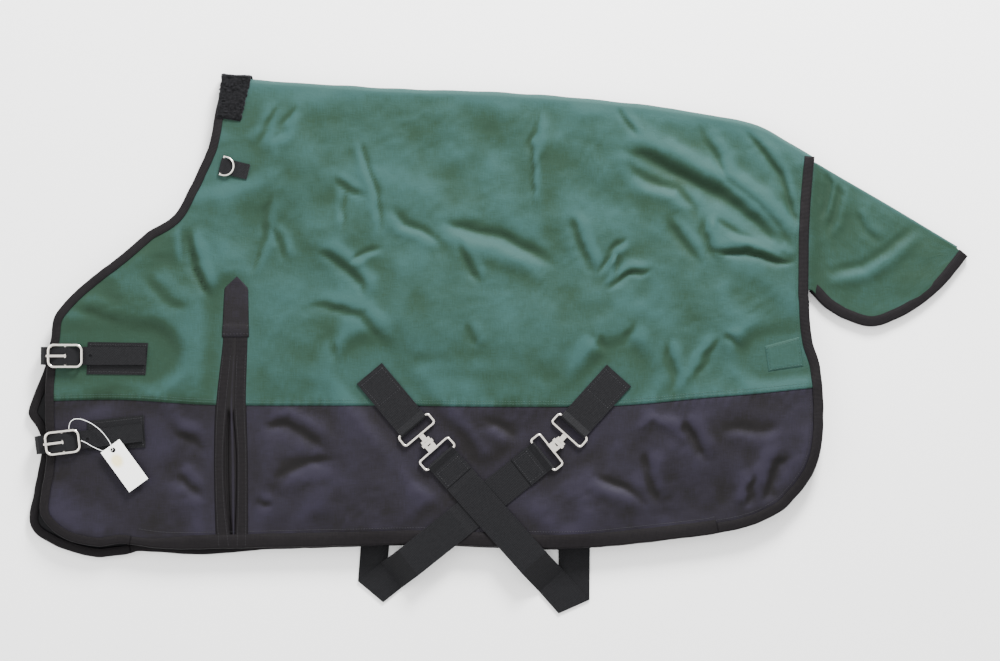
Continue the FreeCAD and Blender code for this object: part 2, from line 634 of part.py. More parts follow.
def rounded_path(points):
    """Straight runs joined by tangent arcs, each as large as the shorter of its two runs allows."""
    vectors = [Vector(*p) for p in points]
    edges, here, radii = [], vectors[0], []
    for before, corner, after in zip(vectors, vectors[1:], vectors[2:]):
        inward, outward = (before - corner), (after - corner)
        short = min(inward.Length, outward.Length)
        inward.normalize()
        outward.normalize()
        half_turn = (math.pi - inward.getAngle(outward)) / 2
        reach = 0.45 * short
        radii.append(reach / math.tan(half_turn))
        start, end = corner + inward * reach, corner + outward * reach
        bisector = (inward + outward).normalize()
        middle = corner + bisector * (radii[-1] / math.cos(half_turn) - radii[-1])
        edges.append(Part.LineSegment(here, start).toShape())
        edges.append(Part.Arc(start, middle, end).toShape())
        here = end
    edges.append(Part.LineSegment(here, vectors[-1]).toShape())
    return Part.Wire(edges), radii


string_path, string_radii = rounded_path(STRING_ROUTE)
first = Vector(*STRING_ROUTE[1]) - Vector(*STRING_ROUTE[0])
radius = size("string_thick") / 2
section = Part.Wire(Part.Circle(Vector(*STRING_ROUTE[0]), first, radius).toShape())
string = doc.addObject("Part::Feature", "tag_string")
string.Label = "tag_string"
string.Shape = string_path.makePipeShell([section], True, False)
string.Placement = Placement()
NODES.append(string)
print("string length", round(string_path.Length, 1), "volume over section x length",
      round(string.Shape.Volume / (math.pi * radius ** 2 * string_path.Length), 4))
print("string radii", [round(r, 1) for r in string_radii])

# ---- check and write ----------------------------------------------------------------------------
doc.recompute()
for item in doc.Objects:
    if "Invalid" in item.State or "Error" in item.State:
        raise RuntimeError(f"{item.Label} failed: {item.State}")
os.makedirs("parts", exist_ok=True)
for stale in os.listdir("parts"):
    os.remove(os.path.join("parts", stale))
for node in NODES:
    shape = node.Shape
    if shape.isNull() or not shape.isValid() or shape.Volume <= 0:
        raise RuntimeError(f"{node.Label} has no valid shape")
    if len(shape.Solids) != 1:
        print("NOTE", node.Label, "has", len(shape.Solids), "solids")
    shape.exportStep(os.path.join("parts", node.Label + ".step"))
print(len(NODES), "nodes")
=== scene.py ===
import math

import bpy
import numpy as np
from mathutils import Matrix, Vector


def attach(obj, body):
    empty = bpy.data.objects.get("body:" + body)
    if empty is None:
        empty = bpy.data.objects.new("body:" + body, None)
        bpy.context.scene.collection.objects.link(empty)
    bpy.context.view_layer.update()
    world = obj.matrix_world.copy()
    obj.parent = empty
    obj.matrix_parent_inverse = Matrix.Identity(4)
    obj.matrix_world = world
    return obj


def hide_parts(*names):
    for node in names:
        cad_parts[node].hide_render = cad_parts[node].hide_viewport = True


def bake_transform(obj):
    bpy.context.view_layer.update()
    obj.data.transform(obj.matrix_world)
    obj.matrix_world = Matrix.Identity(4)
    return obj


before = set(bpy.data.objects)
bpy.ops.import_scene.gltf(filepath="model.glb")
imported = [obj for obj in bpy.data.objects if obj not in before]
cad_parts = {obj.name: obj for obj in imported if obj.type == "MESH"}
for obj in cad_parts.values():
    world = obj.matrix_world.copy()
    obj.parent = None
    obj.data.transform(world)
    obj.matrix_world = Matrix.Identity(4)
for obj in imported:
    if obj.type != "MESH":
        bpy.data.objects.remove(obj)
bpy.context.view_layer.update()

# Camera, floor and light. The rug lies folded flat, seen from straight above, on a
# plain pale floor under a large soft light from its back edge and a weak fill.
camera_data = bpy.data.cameras.new("camera")
camera_data.lens = 92.2
camera_data.sensor_width = 36.0
camera_data.clip_end = 50.0
camera = bpy.data.objects.new("camera", camera_data)
camera.location = (0.0037, 0.0224, 4.028)
bpy.context.scene.collection.objects.link(camera)
bpy.context.scene.camera = camera


def linear(code):
    """Turns an sRGB hex colour into linear red, green, blue and alpha."""
    parts = [int(code[i:i + 2], 16) / 255.0 for i in (1, 3, 5)]
    return [c / 12.92 if c <= 0.04045 else ((c + 0.055) / 1.055)**2.4 for c in parts] + [1.0]


def add(tree, kind, inputs=None, stops=(), **settings):
    """Adds one node. settings are its properties, inputs gives each socket a value or a socket to link,
    and stops gives a colour ramp its places and colours, from first to last."""
    made = tree.nodes.new(kind)
    for key, value in settings.items():
        setattr(made, key, value)
    for key, value in (inputs or {}).items():
        if isinstance(value, bpy.types.NodeSocket):
            tree.links.new(value, made.inputs[key])
        else:
            made.inputs[key].default_value = value
    for place, _ in stops[1:-1]:
        made.color_ramp.elements.new(place)
    for element, (place, colour) in zip(made.color_ramp.elements if stops else (), stops):
        element.position = place
        element.color = colour
    return made


def new_material(name):
    """An empty node material and its tree, with only the output node."""
    made = bpy.data.materials.new(name)
    made.use_nodes = True
    made.node_tree.nodes.clear()
    return made, made.node_tree


def finish_material(tree, shader):
    """Links the shader to the material's output."""
    add(tree, "ShaderNodeOutputMaterial", {"Surface": shader.outputs[0]})


# Matt white studio board, painted: almost no gloss, a very faint unevenness.
board, tree = new_material("painted_studio_board")
place = add(tree, "ShaderNodeTexCoord")
mottle = add(tree, "ShaderNodeTexNoise", {"Vector": place.outputs["Object"], "Scale": 3.0, "Detail": 2.0})
tone = add(tree, "ShaderNodeMix", {0: mottle.outputs["Fac"], 6: linear("#f6f6f5"), 7: linear("#fbfbfb")},
           data_type="RGBA")
finish_material(tree, add(tree, "ShaderNodeBsdfPrincipled", {
    "Base Color": tone.outputs[2], "Roughness": 0.9, "Specular IOR Level": 0.1}))

floor_mesh = bpy.data.meshes.new("floor")
BOARD_REACH, BOARD_LEVEL = 9.0, -0.0006
floor_corners = [(x * BOARD_REACH, y * BOARD_REACH, BOARD_LEVEL)
                 for x, y in ((-1, -1), (1, -1), (1, 1), (-1, 1))]
floor_mesh.from_pydata(floor_corners, [], [(0, 1, 2, 3)])
floor_mesh.materials.append(board)
floor = bpy.data.objects.new("floor", floor_mesh)
bpy.context.scene.collection.objects.link(floor)

world = bpy.data.worlds.new("studio")
world.use_nodes = True
world.node_tree.nodes["Background"].inputs["Color"].default_value = (1.0, 1.0, 1.0, 1.0)
world.node_tree.nodes["Background"].inputs["Strength"].default_value = 1.9
bpy.context.scene.world = world

for label, energy, spread, place_at in (("key_light", 330.0, 0.9, (0.7, 2.6, 1.6)),
                                        ("fill_light", 40.0, 2.0, (-2.4, 0.6, 1.6))):
    lamp = bpy.data.lights.new(label, "AREA")
    lamp.energy = energy
    lamp.size = spread
    holder = bpy.data.objects.new(label, lamp)
    holder.location = place_at
    holder.rotation_euler = (-Vector(place_at)).to_track_quat("-Z", "Y").to_euler()
    bpy.context.scene.collection.objects.link(holder)

# Outer shell. Woven nylon, shot with teal on dark green, cut in one piece for both halves
# and folded along the spine. It runs under the bindings and over the top edge of the skirts.
SPINE = [(-428, 420), (-340, 413), (-168, 402), (0, 396), (167, 383), (300, 366), (400, 346),
         (455, 318), (494, 294)]
REAR = [(494, 294), (487, 207), (485, 138), (485, 70), (490, 10), (503, -35), (508, -95), (506, -150),
        (497, -190), (478, -222), (450, -253), (420, -272), (385, -285), (345, -293)]
NECK = [(-692, 42), (-669, 73), (-626, 111), (-590, 138), (-548, 174), (-507, 200), (-481, 243),
        (-462, 283), (-449, 315), (-442, 354)]
NEAR_HEM = [(345, -293), (325, -297), (247, -306), (142, -316), (57, -317), (-109, -311), (-231, -313),
            (-412, -317), (-515, -318), (-575, -311)]
OFF_HEM = [(345, -293), (325, -297), (247, -308), (142, -318), (57, -320), (-109, -314), (-231, -316),
           (-371, -321), (-463, -328), (-560, -323), (-575, -326)]
NEAR_FRONT = [(-575, -311), (-590, -309.2), (-622, -314), (-666, -306), (-696, -288), (-714, -262),
              (-711, -225), (-704, -174), (-706, -92), (-704, -40), (-697, 10)] + NECK
OFF_FRONT = [(-575, -326), (-590, -329), (-640, -331), (-706, -308), (-733, -280), (-726, -229),
             (-716, -178), (-714, -150), (-722, -129), (-735, -108), (-729, -84), (-712, -42),
             (-698, 5)] + NECK
COLLAR = [(-442, 354), (-428, 420)]
COLOUR_LINE = [(-770, -90), (-593, -86), (-442, -94), (-190, -95), (50, -97), (190, -95), (322, -83),
               (396, -77), (495, -67), (560, -62)]
NEAR_TOP = 27.0


def smooth_line(points, count):
    """count points, evenly spaced along a curve through the given ones: each span is a cubic whose slope
    at a point is the chord of its two neighbours, and the curve is then measured and divided evenly."""
    p = np.array(points, float)
    if len(p) == 2:
        return p[0] + (p[1] - p[0]) * np.linspace(0, 1, count)[:, None]
    chord = np.sqrt(np.linalg.norm(np.diff(p, axis=0), axis=1))
    knot = np.concatenate([[0], np.cumsum(chord)])
    slope = np.empty_like(p)
    slope[1:-1] = (p[2:] - p[:-2]) / (knot[2:] - knot[:-2])[:, None]
    slope[0] = (p[1] - p[0]) / chord[0]
    slope[-1] = (p[-1] - p[-2]) / chord[-1]
    t = np.linspace(0, knot[-1], 40 * len(p))
    i = np.clip(np.searchsorted(knot, t, side="right") - 1, 0, len(p) - 2)
    h = chord[i][:, None]
    s = ((t - knot[i])[:, None]) / h
    dense = ((2 * s**3 - 3 * s**2 + 1) * p[i] + (s**3 - 2 * s**2 + s) * h * slope[i]
             + (3 * s**2 - 2 * s**3) * p[i + 1] + (s**3 - s**2) * h * slope[i + 1])
    return respace(dense, count)


def run_length(line):
    """The distance along a line to each of its points."""
    return np.concatenate([[0], np.cumsum(np.linalg.norm(np.diff(line, axis=0), axis=1))])


def respace(line, count):
    """The same line with count points evenly spaced along its length."""
    line = np.asarray(line, float)
    along = run_length(line)
    want = np.linspace(0, along[-1], count)
    return np.stack([np.interp(want, along, line[:, k]) for k in range(line.shape[1])], axis=1)


def between(line, start, end):
    """The part of a dense line from its point nearest start to its point nearest end."""
    first = int(np.argmin(np.linalg.norm(line - np.array(start), axis=1)))
    last = int(np.argmin(np.linalg.norm(line - np.array(end), axis=1)))
    return line[first:last + 1] if first <= last else line[last:first + 1][::-1]


def patch_between(bottom, top, left, right):
    """Coons patch: each inside point is the sum of the two straight blends between opposite sides,
    less the blend of the four corners. Rows run from bottom to top, columns from left to right."""
    rows, columns = len(left), len(bottom)
    v = np.linspace(0, 1, rows)[:, None, None]
    u = np.linspace(0, 1, columns)[None, :, None]
    ruled_v = (1 - v) * bottom[None] + v * top[None]
    ruled_u = (1 - u) * left[:, None] + u * right[:, None]
    corners = ((1 - u) * (1 - v) * bottom[0] + u * (1 - v) * bottom[-1]
               + (1 - u) * v * top[0] + u * v * top[-1])
    return ruled_v + ruled_u - corners


def ease(t):
    """The smooth step: 0 below 0, 1 above 1, level at both ends."""
    t = np.clip(t, 0, 1)
    return t * t * (3 - 2 * t)


def lattice_noise(x, y, cell, seed):
    """Smooth noise from -1 to 1: random heights on a square lattice, joined by fifth-power easing."""
    heights = np.random.default_rng(seed).uniform(-1, 1, (97, 97))
    fx, fy = x / cell + 4096.0, y / cell + 4096.0
    ix, iy = np.floor(fx).astype(int), np.floor(fy).astype(int)
    tx, ty = fx - ix, fy - iy
    tx, ty = tx**3 * (tx * (6 * tx - 15) + 10), ty**3 * (ty * (6 * ty - 15) + 10)
    a, b = heights[iy % 97, ix % 97], heights[iy % 97, (ix + 1) % 97]
    c, d = heights[(iy + 1) % 97, ix % 97], heights[(iy + 1) % 97, (ix + 1) % 97]
    return (a * (1 - tx) + b * tx) * (1 - ty) + (c * (1 - tx) + d * tx) * ty


def to_line(x, y, points):
    """For every point: its distance to a polyline, the side (positive on the left of its direction),
    and how far along it the nearest place is, from 0 to 1."""
    p = np.array(points, float)
    lengths = np.linalg.norm(np.diff(p, axis=0), axis=1)
    start = np.concatenate([[0], np.cumsum(lengths)])
    best = np.full(np.shape(x), 1e9)
    side = np.zeros(np.shape(x))
    along = np.zeros(np.shape(x))
    for k in range(len(p) - 1):
        (ax, ay), (bx, by) = p[k], p[k + 1]
        t = np.clip(((x - ax) * (bx - ax) + (y - ay) * (by - ay)) / lengths[k]**2, 0, 1)
        dx, dy = x - ax - t * (bx - ax), y - ay - t * (by - ay)
        d = np.hypot(dx, dy)
        closer = d < best
        best = np.where(closer, d, best)
        side = np.where(closer, np.sign((bx - ax) * dy - (by - ay) * dx), side)
        along = np.where(closer, (start[k] + t * lengths[k]) / start[-1], along)
    return best, side, along


# Each crease: where it runs, the valley's half width and depth, and the ridge's height, half width
# and distance beside it (a positive distance is on the left of its direction), all in millimetres.
CREASES = [
    ([(170, 318), (230, 292), (290, 262), (345, 232), (396, 197), (432, 160), (468, 128)],
     15, 8.5, 9.0, 17, 27),
    ([(322, 150), (345, 146), (369, 145), (404, 137), (440, 131), (474, 126)], 6.5, 7.0, 7.5, 11, 15),
    ([(318, 206), (322, 172), (330, 146), (338, 128)], 7, 3.5, 7.0, 10, 14),
    ([(325, 203), (378, 171), (431, 149), (472, 127)], 5, 2.6, 2.0, 8, -11),
    ([(303, 366), (321, 322), (343, 289), (361, 254), (404, 223), (440, 184), (468, 136)],
     8, 4.2, 3.2, 12, 16),
    ([(372, 352), (404, 315), (422, 289), (439, 267), (455, 219), (463, 157)], 6, 3.6, 2.6, 9, 12),
    ([(190, 372), (203, 345), (216, 328)], 5, 2.6, 1.6, 7, 9),
    ([(110, 205), (124, 178), (136, 140), (146, 105)], 7, 4.2, 3.0, 9, 12),
    ([(150, 112), (166, 132), (181, 146), (207, 166)], 5.5, 4.0, 3.2, 8, -10),
    ([(172, 84), (190, 94), (212, 109), (242, 122)], 5.5, 3.8, 3.4, 8, 10),
    ([(186, 152), (190, 118), (177, 84)], 5, 3.6, 3.0, 7, -9),
    ([(200, 292), (216, 268), (240, 252), (282, 241), (304, 216), (310, 180)], 9, 4.0, 3.0, 12, -16),
    ([(262, 200), (274, 180), (292, 157), (318, 124)], 8, 3.4, 2.6, 10, 14),
    ([(62, 376), (57, 330), (52, 284), (52, 246), (52, 205)], 4.2, 3.4, 3.6, 9, 9),
    ([(-226, 334), (-214, 312), (-204, 286), (-195, 248), (-185, 206), (-183, 158)], 4.6, 3.6, 2.4, 8, -9),
    ([(-262, 268), (-247, 252), (-232, 241), (-206, 234)], 5, 2.6, 1.8, 8, 10),
    ([(-240, 250), (-239, 210), (-238, 168)], 4, 2.0, 1.6, 7, -9),
    ([(-170, 222), (-146, 189), (-114, 175), (-80, 154)], 7, 3.4, 2.8, 10, -13),
    ([(-100, 201), (-64, 184), (-20, 172), (14, 164), (39, 152), (70, 136), (100, 118)],
     12, 6.8, 5.5, 16, -24),
    ([(-62, 172), (-55, 140), (-46, 118), (-28, 96)], 6.5, 4.0, 3.4, 10, 12),
    ([(-290, 155), (-262, 136), (-236, 117), (-214, 95), (-206, 66)], 8, 4.4, 3.6, 12, 15),
    ([(-236, 124), (-205, 140), (-176, 151)], 5, 2.6, 2.6, 8, -10),
    ([(-352, 242), (-358, 205), (-367, 166), (-380, 132), (-394, 104)], 5.5, 3.0, 2.4, 9, 11),
    ([(-352, 190), (-342, 158), (-334, 130)], 5, 2.6, 2.0, 8, 10),
    ([(-485, 190), (-478, 150), (-471, 118), (-458, 88), (-430, 50)], 6, 5.2, 4.4, 10, 13),
    ([(-496, 194), (-490, 150), (-484, 118)], 4, 2.2, 2.2, 8, -9),
    ([(-338, 378), (-362, 334), (-384, 292), (-396, 262)], 8, 4.0, 3.0, 12, -16),
    ([(-310, 372), (-334, 345), (-356, 312)], 6, 2.6, 2.2, 9, 12),
    ([(350, 22), (363, 9), (385, -10), (406, -32)], 7, 4.4, 4.4, 10, 13),
    ([(352, 14), (334, -12), (318, -38), (305, -62)], 8, 2.6, 3.6, 10, -13),
    ([(262, 12), (266, -14), (276, -48), (268, -76)], 7, 3.8, 3.2, 10, 13),
    ([(160, 18), (168, -4), (176, -30)], 6, 3.0, 2.4, 9, -12),
    ([(-262, 16), (-252, -20), (-243, -44), (-235, -80)], 6, 4.2, 2.8, 10, 13),
    ([(-305, 63), (-250, 54), (-211, 42), (-187, 10), (-165, -28)], 9, 3.4, 2.8, 12, 16),
    ([(-48, 32), (-38, 8), (-26, -12)], 7, 3.0, 2.2, 10, 13),
    ([(142, 26), (156, 0), (172, -10), (206, -3), (213, 46)], 8, 3.8, 3.0, 11, -14),
    ([(-560, 120), (-540, 92), (-514, 66), (-470, 50)], 9, 2.4, 2.0, 14, 18),
    ([(-676, 60), (-640, 52), (-600, 36), (-566, 30)], 9, 1.8, 1.6, 14, 18),
    ([(-620, -62), (-600, -70), (-560, -72)], 5, 1.6, 1.4, 8, 10),
    ([(215, -134), (243, -117), (276, -127), (293, -155)], 9, -2.0, 2.6, 12, 4),
    ([(284, -112), (304, -144), (316, -168), (326, -186)], 9, 5.0, 3.8, 13, 16),
    ([(403, -196), (395, -222), (384, -254)], 8, 4.4, 3.4, 10, -13),
    ([(462, -164), (440, -190), (424, -220), (406, -246)], 12, 5.6, 4.6, 15, -20),
    ([(229, -164), (238, -200), (240, -228), (250, -252)], 9, 4.2, 3.2, 12, 15),
    ([(140, -198), (170, -212), (204, -228), (236, -252)], 9, 3.6, 3.0, 12, -16),
    ([(-380, -120), (-330, -128), (-286, -150), (-262, -170)], 10, 3.2, 3.0, 14, 18),
    ([(-356, -220), (-330, -196), (-300, -184), (-250, -176)], 11, 3.0, 2.6, 15, -19),
    ([(-34, -112), (0, -124), (36, -150), (60, -172)], 10, 3.0, 2.8, 13, -17),
    ([(-395, -262), (-378, -246), (-350, -252)], 7, 3.0, 2.4, 10, 13),
    ([(-540, -110), (-520, -136), (-480, -150), (-448, -170)], 10, 2.8, 2.6, 14, 17),
    ([(-505, -200), (-478, -226), (-452, -244)], 9, 3.4, 2.6, 12, 15),
    ([(340, -130), (380, -126), (420, -132), (456, -124)], 11, 2.4, 2.2, 15, -19),
]
# The cloth is held flat under these: a line each, and the half width that it keeps flat.
HELD_FLAT = [
    ([(-700, -17), (-546, -17)], 36), ([(-706, -152), (-550, -143)], 36),
    ([(-88, -177), (117, -414)], 34), ([(70, -173), (-196, -393)], 34),
    ([(-205, -38), (-90, -176)], 36), ([(193, -46), (72, -176)], 36),
    ([(-448, 280), (-400, 290)], 24), ([(-410, 60), (-417, -290)], 30),
    ([(-408, 360), (-392, 424)], 30), ([(420, -18), (476, -12)], 30), ([(-625, -176), (-565, -234)], 34),
]


def relief(x, y):
    """Height of the near cloth above its flat level: slow swells, the creases, and small crumples,
    all fading out where something is sewn or laid over it and along the edges."""
    bend = 26 * lattice_noise(x, y, 95, 8)
    swell = (4.2 * lattice_noise(x + 40 + bend, y, 150, 3)
             + 2.6 * lattice_noise(x + bend, y + 30 - bend, 70, 5))
    crumple = (0.9 * lattice_noise(x + bend, y - bend, 31, 11)
               + 0.28 * lattice_noise(x - bend, y + bend, 13, 13))
    height = 1.8 + swell + crumple
    wander = 5.0 * lattice_noise(x, y, 40, 21) + 2.0 * lattice_noise(x, y, 15, 23)
    for line, wide, deep, high, ridge_wide, ridge_off in CREASES:
        d, side, along = to_line(x + wander, y - wander, line)
        fade = ease(np.clip(3.2 * along, 0, 1) * np.clip(3.2 * (1 - along), 0, 1))
        wide = wide * (0.55 + 0.38 * fade)
        near_end = np.exp(-(d / (2.4 * (wide + abs(ridge_off))))**2)
        height = height + fade * near_end * (high * np.exp(-((side * d - ridge_off) / ridge_wide)**2)
                                             - deep * np.exp(-(d / wide)**1.6))
    keep = np.ones(np.shape(x))
    for line, flat_to in HELD_FLAT:
        d, _, _ = to_line(x, y, line)
        keep = keep * ease((d - flat_to) / 30.0)
    d, _, _ = to_line(x, y, COLOUR_LINE)
    pucker = 0.45 * np.sin(x / 2.3 + 3 * lattice_noise(x, y, 40, 17)) * np.exp(-(d / 9.0)**2)
    return (12.0 * np.tanh(height / 12.0)) * keep + pucker * keep


def edge_fade(x, y, lines, over=26.0):
    """0 at the given edge lines, easing to 1 at the distance over."""
    fade = np.ones(np.shape(x))
    for line in lines:
        d, _, _ = to_line(x, y, line)
        fade = np.minimum(fade, ease(d / over))
    return fade


EDGE_LINES = [smooth_line(line, count)
              for line, count in ((NEAR_FRONT, 60), (REAR, 50), (NEAR_HEM, 40), (SPINE, 30))]


def near_height(x, y):
    """Level of the near cloth's outer face, in millimetres above the floor."""
    return NEAR_TOP + relief(x, y) * (0.22 + 0.78 * edge_fade(x, y, EDGE_LINES))


def off_height(x, y):
    """Level of the off cloth's outer face, which rests on the floor and lifts off it in soft folds."""
    lift = 1.6 * lattice_noise(x, y, 74, 31) + 0.7 * lattice_noise(x, y, 25, 33)
    return 0.15 + np.clip(lift, 0, 3) * edge_fade(x, y, EDGE_LINES)


def on_near(plan, rise=0.0):
    """Points on the near cloth at a plan, raised by rise."""
    return np.dstack([plan, near_height(plan[..., 0], plan[..., 1]) + rise])


def on_off(plan, rise=0.0):
    """Points on the off cloth at a plan, raised by rise, with the rows turned round to face down."""
    return np.dstack([plan, off_height(plan[..., 0], plan[..., 1]) + rise])[::-1]


def grid_piece(name, points, material, flat=None, thick=None, attribute=None):
    """A mesh from rows and columns of points in millimetres, with a UV map in metres: flat if given,
    else the points' own X and Y. Faces look to the side where rows turn into columns anticlockwise."""
    rows, columns = points.shape[:2]
    index = np.arange(rows * columns).reshape(rows, columns)
    quads = np.stack([index[:-1, :-1], index[:-1, 1:], index[1:, 1:], index[1:, :-1]], axis=-1).reshape(-1, 4)
    mesh = bpy.data.meshes.new(name)
    mesh.from_pydata((points.reshape(-1, 3) * 0.001).tolist(), [], quads.tolist())
    mesh.polygons.foreach_set("use_smooth", np.ones(len(quads), bool))
    plan = points[..., :2] if flat is None else flat
    uv = mesh.uv_layers.new(name="flat")
    uv.data.foreach_set("uv", (plan.reshape(-1, 2)[quads.reshape(-1)] * 0.001).astype(np.float32).reshape(-1))
    if attribute is not None:
        layer = mesh.attributes.new("crest", "FLOAT", "POINT")
        layer.data.foreach_set("value", attribute.reshape(-1).astype(np.float32))
    mesh.materials.append(material)
    piece = bpy.data.objects.new(name, mesh)
    bpy.context.scene.collection.objects.link(piece)
    if thick:
        wall = piece.modifiers.new("thickness", "SOLIDIFY")
        wall.thickness = thick * 0.001
        wall.offset = -1.0
    return piece


def stands_for(piece, node, body="root"):
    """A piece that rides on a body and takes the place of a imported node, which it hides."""
    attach(piece, body)
    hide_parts(node)


def crest_of(points):
    """Painted light and shade for a height field: how far each point stands above its surroundings and leans
    to the key light, from 0 in the valleys, painted dark, to 1 on the ridges, painted light."""
    z = points[..., 2]
    wide = z.copy()
    for _ in range(40):
        padded = np.pad(wide, 1, mode="edge")
        wide = (padded[:-2, 1:-1] + padded[2:, 1:-1] + padded[1:-1, :-2] + padded[1:-1, 2:] + wide) / 5
    lean = np.gradient(z, axis=0) - 0.35 * np.gradient(z, axis=1)
    return np.clip(0.5 + 0.28 * np.tanh((z - wide) / 2.2) - 0.5 * np.tanh(lean / 2.2), 0, 1)


def woven_cloth(name, low, middle, high, thread_mm, sheen, sheen_tint, rough):
    """Woven synthetic cloth: warp and weft waves give the weave, slow noise the dye's unevenness, long thin
    noise the uneven threads, and the crest attribute painted light and shade, paler on the folds' ridges and
    on slopes facing the key light, darker in the valleys."""
    made, tree = new_material(name)
    uv = add(tree, "ShaderNodeUVMap", uv_map="flat")
    band = 2 * math.pi / (20.0 * thread_mm * 0.001)
    warp, weft = [add(tree, "ShaderNodeTexWave", {
        "Vector": uv.outputs[0], "Scale": band, "Distortion": 0.6, "Detail": 1.0, "Detail Scale": 2.0},
        bands_direction=across) for across in ("X", "Y")]
    weave = add(tree, "ShaderNodeMath", {0: warp.outputs["Fac"], 1: weft.outputs["Fac"]},
                operation="MULTIPLY")
    stretched = [add(tree, "ShaderNodeMapping", {"Vector": uv.outputs[0], "Scale": stretch})
                 for stretch in ((60.0, 900.0, 1.0), (900.0, 50.0, 1.0))]
    slub, slub_across = [add(tree, "ShaderNodeTexNoise", {
        "Vector": place.outputs[0], "Scale": 1.0, "Detail": 2.0}) for place in stretched]
    threads = add(tree, "ShaderNodeMath", {0: slub.outputs["Fac"], 1: slub_across.outputs["Fac"]},
                  operation="ADD")
    patchy = add(tree, "ShaderNodeTexNoise", {"Vector": uv.outputs[0], "Scale": 9.0, "Detail": 3.0,
                                              "Roughness": 0.55})
    # The crest attribute is painted light and shade: it moves the colour up the ramp toward the paler top
    # colour on ridges and lit slopes, and leaves the valleys dark.
    crest = add(tree, "ShaderNodeAttribute", attribute_name="crest", attribute_type="GEOMETRY")
    painted_light_share = add(tree, "ShaderNodeMath", {0: crest.outputs["Fac"], 1: 0.72}, operation="MULTIPLY")
    dye_and_painted_light = add(tree, "ShaderNodeMath", {0: patchy.outputs["Fac"], 1: 0.55, 2: painted_light_share.outputs[0]},
                 operation="MULTIPLY_ADD")
    threads_dye_and_painted_light = add(tree, "ShaderNodeMath", {0: threads.outputs[0], 1: 0.22, 2: dye_and_painted_light.outputs[0]},
                  operation="MULTIPLY_ADD")
    ramp = add(tree, "ShaderNodeValToRGB", {"Fac": threads_dye_and_painted_light.outputs[0]},
               stops=[(0.32, linear(low)), (0.72, linear(middle)), (1.0, linear(high))])
    shade = add(tree, "ShaderNodeMix", {0: 0.16, 6: ramp.outputs[0], 7: weave.outputs[0]}, data_type="RGBA",
                blend_type="MULTIPLY")
    bump = add(tree, "ShaderNodeBump", {"Strength": 0.35, "Distance": 0.0004, "Height": weave.outputs[0]})
    crinkle = add(tree, "ShaderNodeTexNoise", {"Vector": uv.outputs[0], "Scale": 85.0, "Detail": 3.0,
                                               "Distortion": 0.8})
    creased = add(tree, "ShaderNodeBump", {
        "Strength": 0.22, "Distance": 0.002, "Height": crinkle.outputs["Fac"], "Normal": bump.outputs[0]})
    gloss = add(tree, "ShaderNodeMapRange", {"Value": patchy.outputs["Fac"], "To Min": rough - 0.05,
                                             "To Max": rough + 0.07})
    finish_material(tree, add(tree, "ShaderNodeBsdfPrincipled", {
        "Base Color": shade.outputs[2], "Roughness": gloss.outputs[0], "Specular IOR Level": 0.1,
        "Sheen Weight": sheen, "Sheen Roughness": 0.45, "Sheen Tint": linear(sheen_tint),
        "Normal": creased.outputs[0]}))
    return made


# Shot nylon: dark green one way of the thread and teal the other; the bluer crests of the folds are painted
# light, carried by the crest attribute.
# The real thread is 0.6 mm, and it is drawn at 1.6 mm so that it still shows.
green_nylon = woven_cloth("shot_nylon_green", "#192a1c", "#1f3529", "#294542", 1.6, 0.03, "#6f9fae", 0.6)

SHELL_COLUMNS, NEAR_ROWS, FOLD_ROWS, OFF_ROWS = 288, 118, 10, 36
FOLD_INSET = 8.0
CLOTH_THICK = 0.8


def front_edge(outline, colour_y):
    """The front edge line from the colour line up to the collar's top."""
    line = smooth_line(outline, 600)
    line = np.vstack([line, smooth_line(COLLAR, 60)])
    return line[np.argmax(line[:, 1] > colour_y):]


def green_half(outline, rows):
    """The plan of one green half: colour line below, spine above, front edge left and rear edge right."""
    left = front_edge(outline, -88.5)
    colour = smooth_line(COLOUR_LINE, 900)
    rear = smooth_line(REAR, 600)
    rear = between(rear, (505, -66), (494, 294))
    bottom = between(colour, left[0], rear[0])
    bottom[0], bottom[-1] = left[0], rear[0]
    top = smooth_line(SPINE, 900)
    return patch_between(respace(bottom, SHELL_COLUMNS), respace(top, SHELL_COLUMNS), respace(left, rows),
                         respace(rear, rows))


def pull_in(plan, distance):
    """Moves the last rows of a half towards its inside, so that the fold's round edge lies on the outline."""
    t = np.linspace(0, 1, len(plan))[:, None]
    moved = plan.copy()
    moved[..., 1] -= distance * t**6
    return moved


near_plan = pull_in(green_half(NEAR_FRONT, NEAR_ROWS), FOLD_INSET)
off_plan = pull_in(green_half(OFF_FRONT, OFF_ROWS), FOLD_INSET)
near_top, off_bottom = on_near(near_plan), on_off(off_plan)
turn = np.linspace(0, 1, FOLD_ROWS + 2)[1:-1, None]
spine_wave = 0.9 * lattice_noise(near_top[-1:, :, 0], 0 * near_top[-1:, :, 0], 38, 41)
fold = np.empty((FOLD_ROWS, SHELL_COLUMNS, 3))
fold[..., 0] = near_top[-1:, :, 0] * (1 - turn) + off_bottom[:1, :, 0] * turn
fold[..., 1] = near_top[-1:, :, 1] + (FOLD_INSET + spine_wave) * np.sin(math.pi * turn)
fold[..., 2] = near_top[-1:, :, 2] * (0.5 + 0.5 * np.cos(math.pi * turn)) + 0.15 * turn
shell_points = np.vstack([near_top, fold, off_bottom])
GIRTH_COLUMN = 140
girth = run_length(shell_points[:, GIRTH_COLUMN])
shell_flat = np.dstack([shell_points[..., 0], np.repeat(girth[:, None], SHELL_COLUMNS, axis=1)])
# The crest attribute is painted light and shade from the shell's folds; it is lowered towards the shoulder,
# so the cloth there is darker.
shoulder = np.clip((-440.0 - shell_points[..., 0]) / 90.0, 0, 1)
shell = grid_piece("shell_cloth", shell_points, green_nylon, shell_flat, CLOTH_THICK,
                   crest_of(shell_points) - 0.2 * shoulder)
stands_for(shell, "outer_shell")
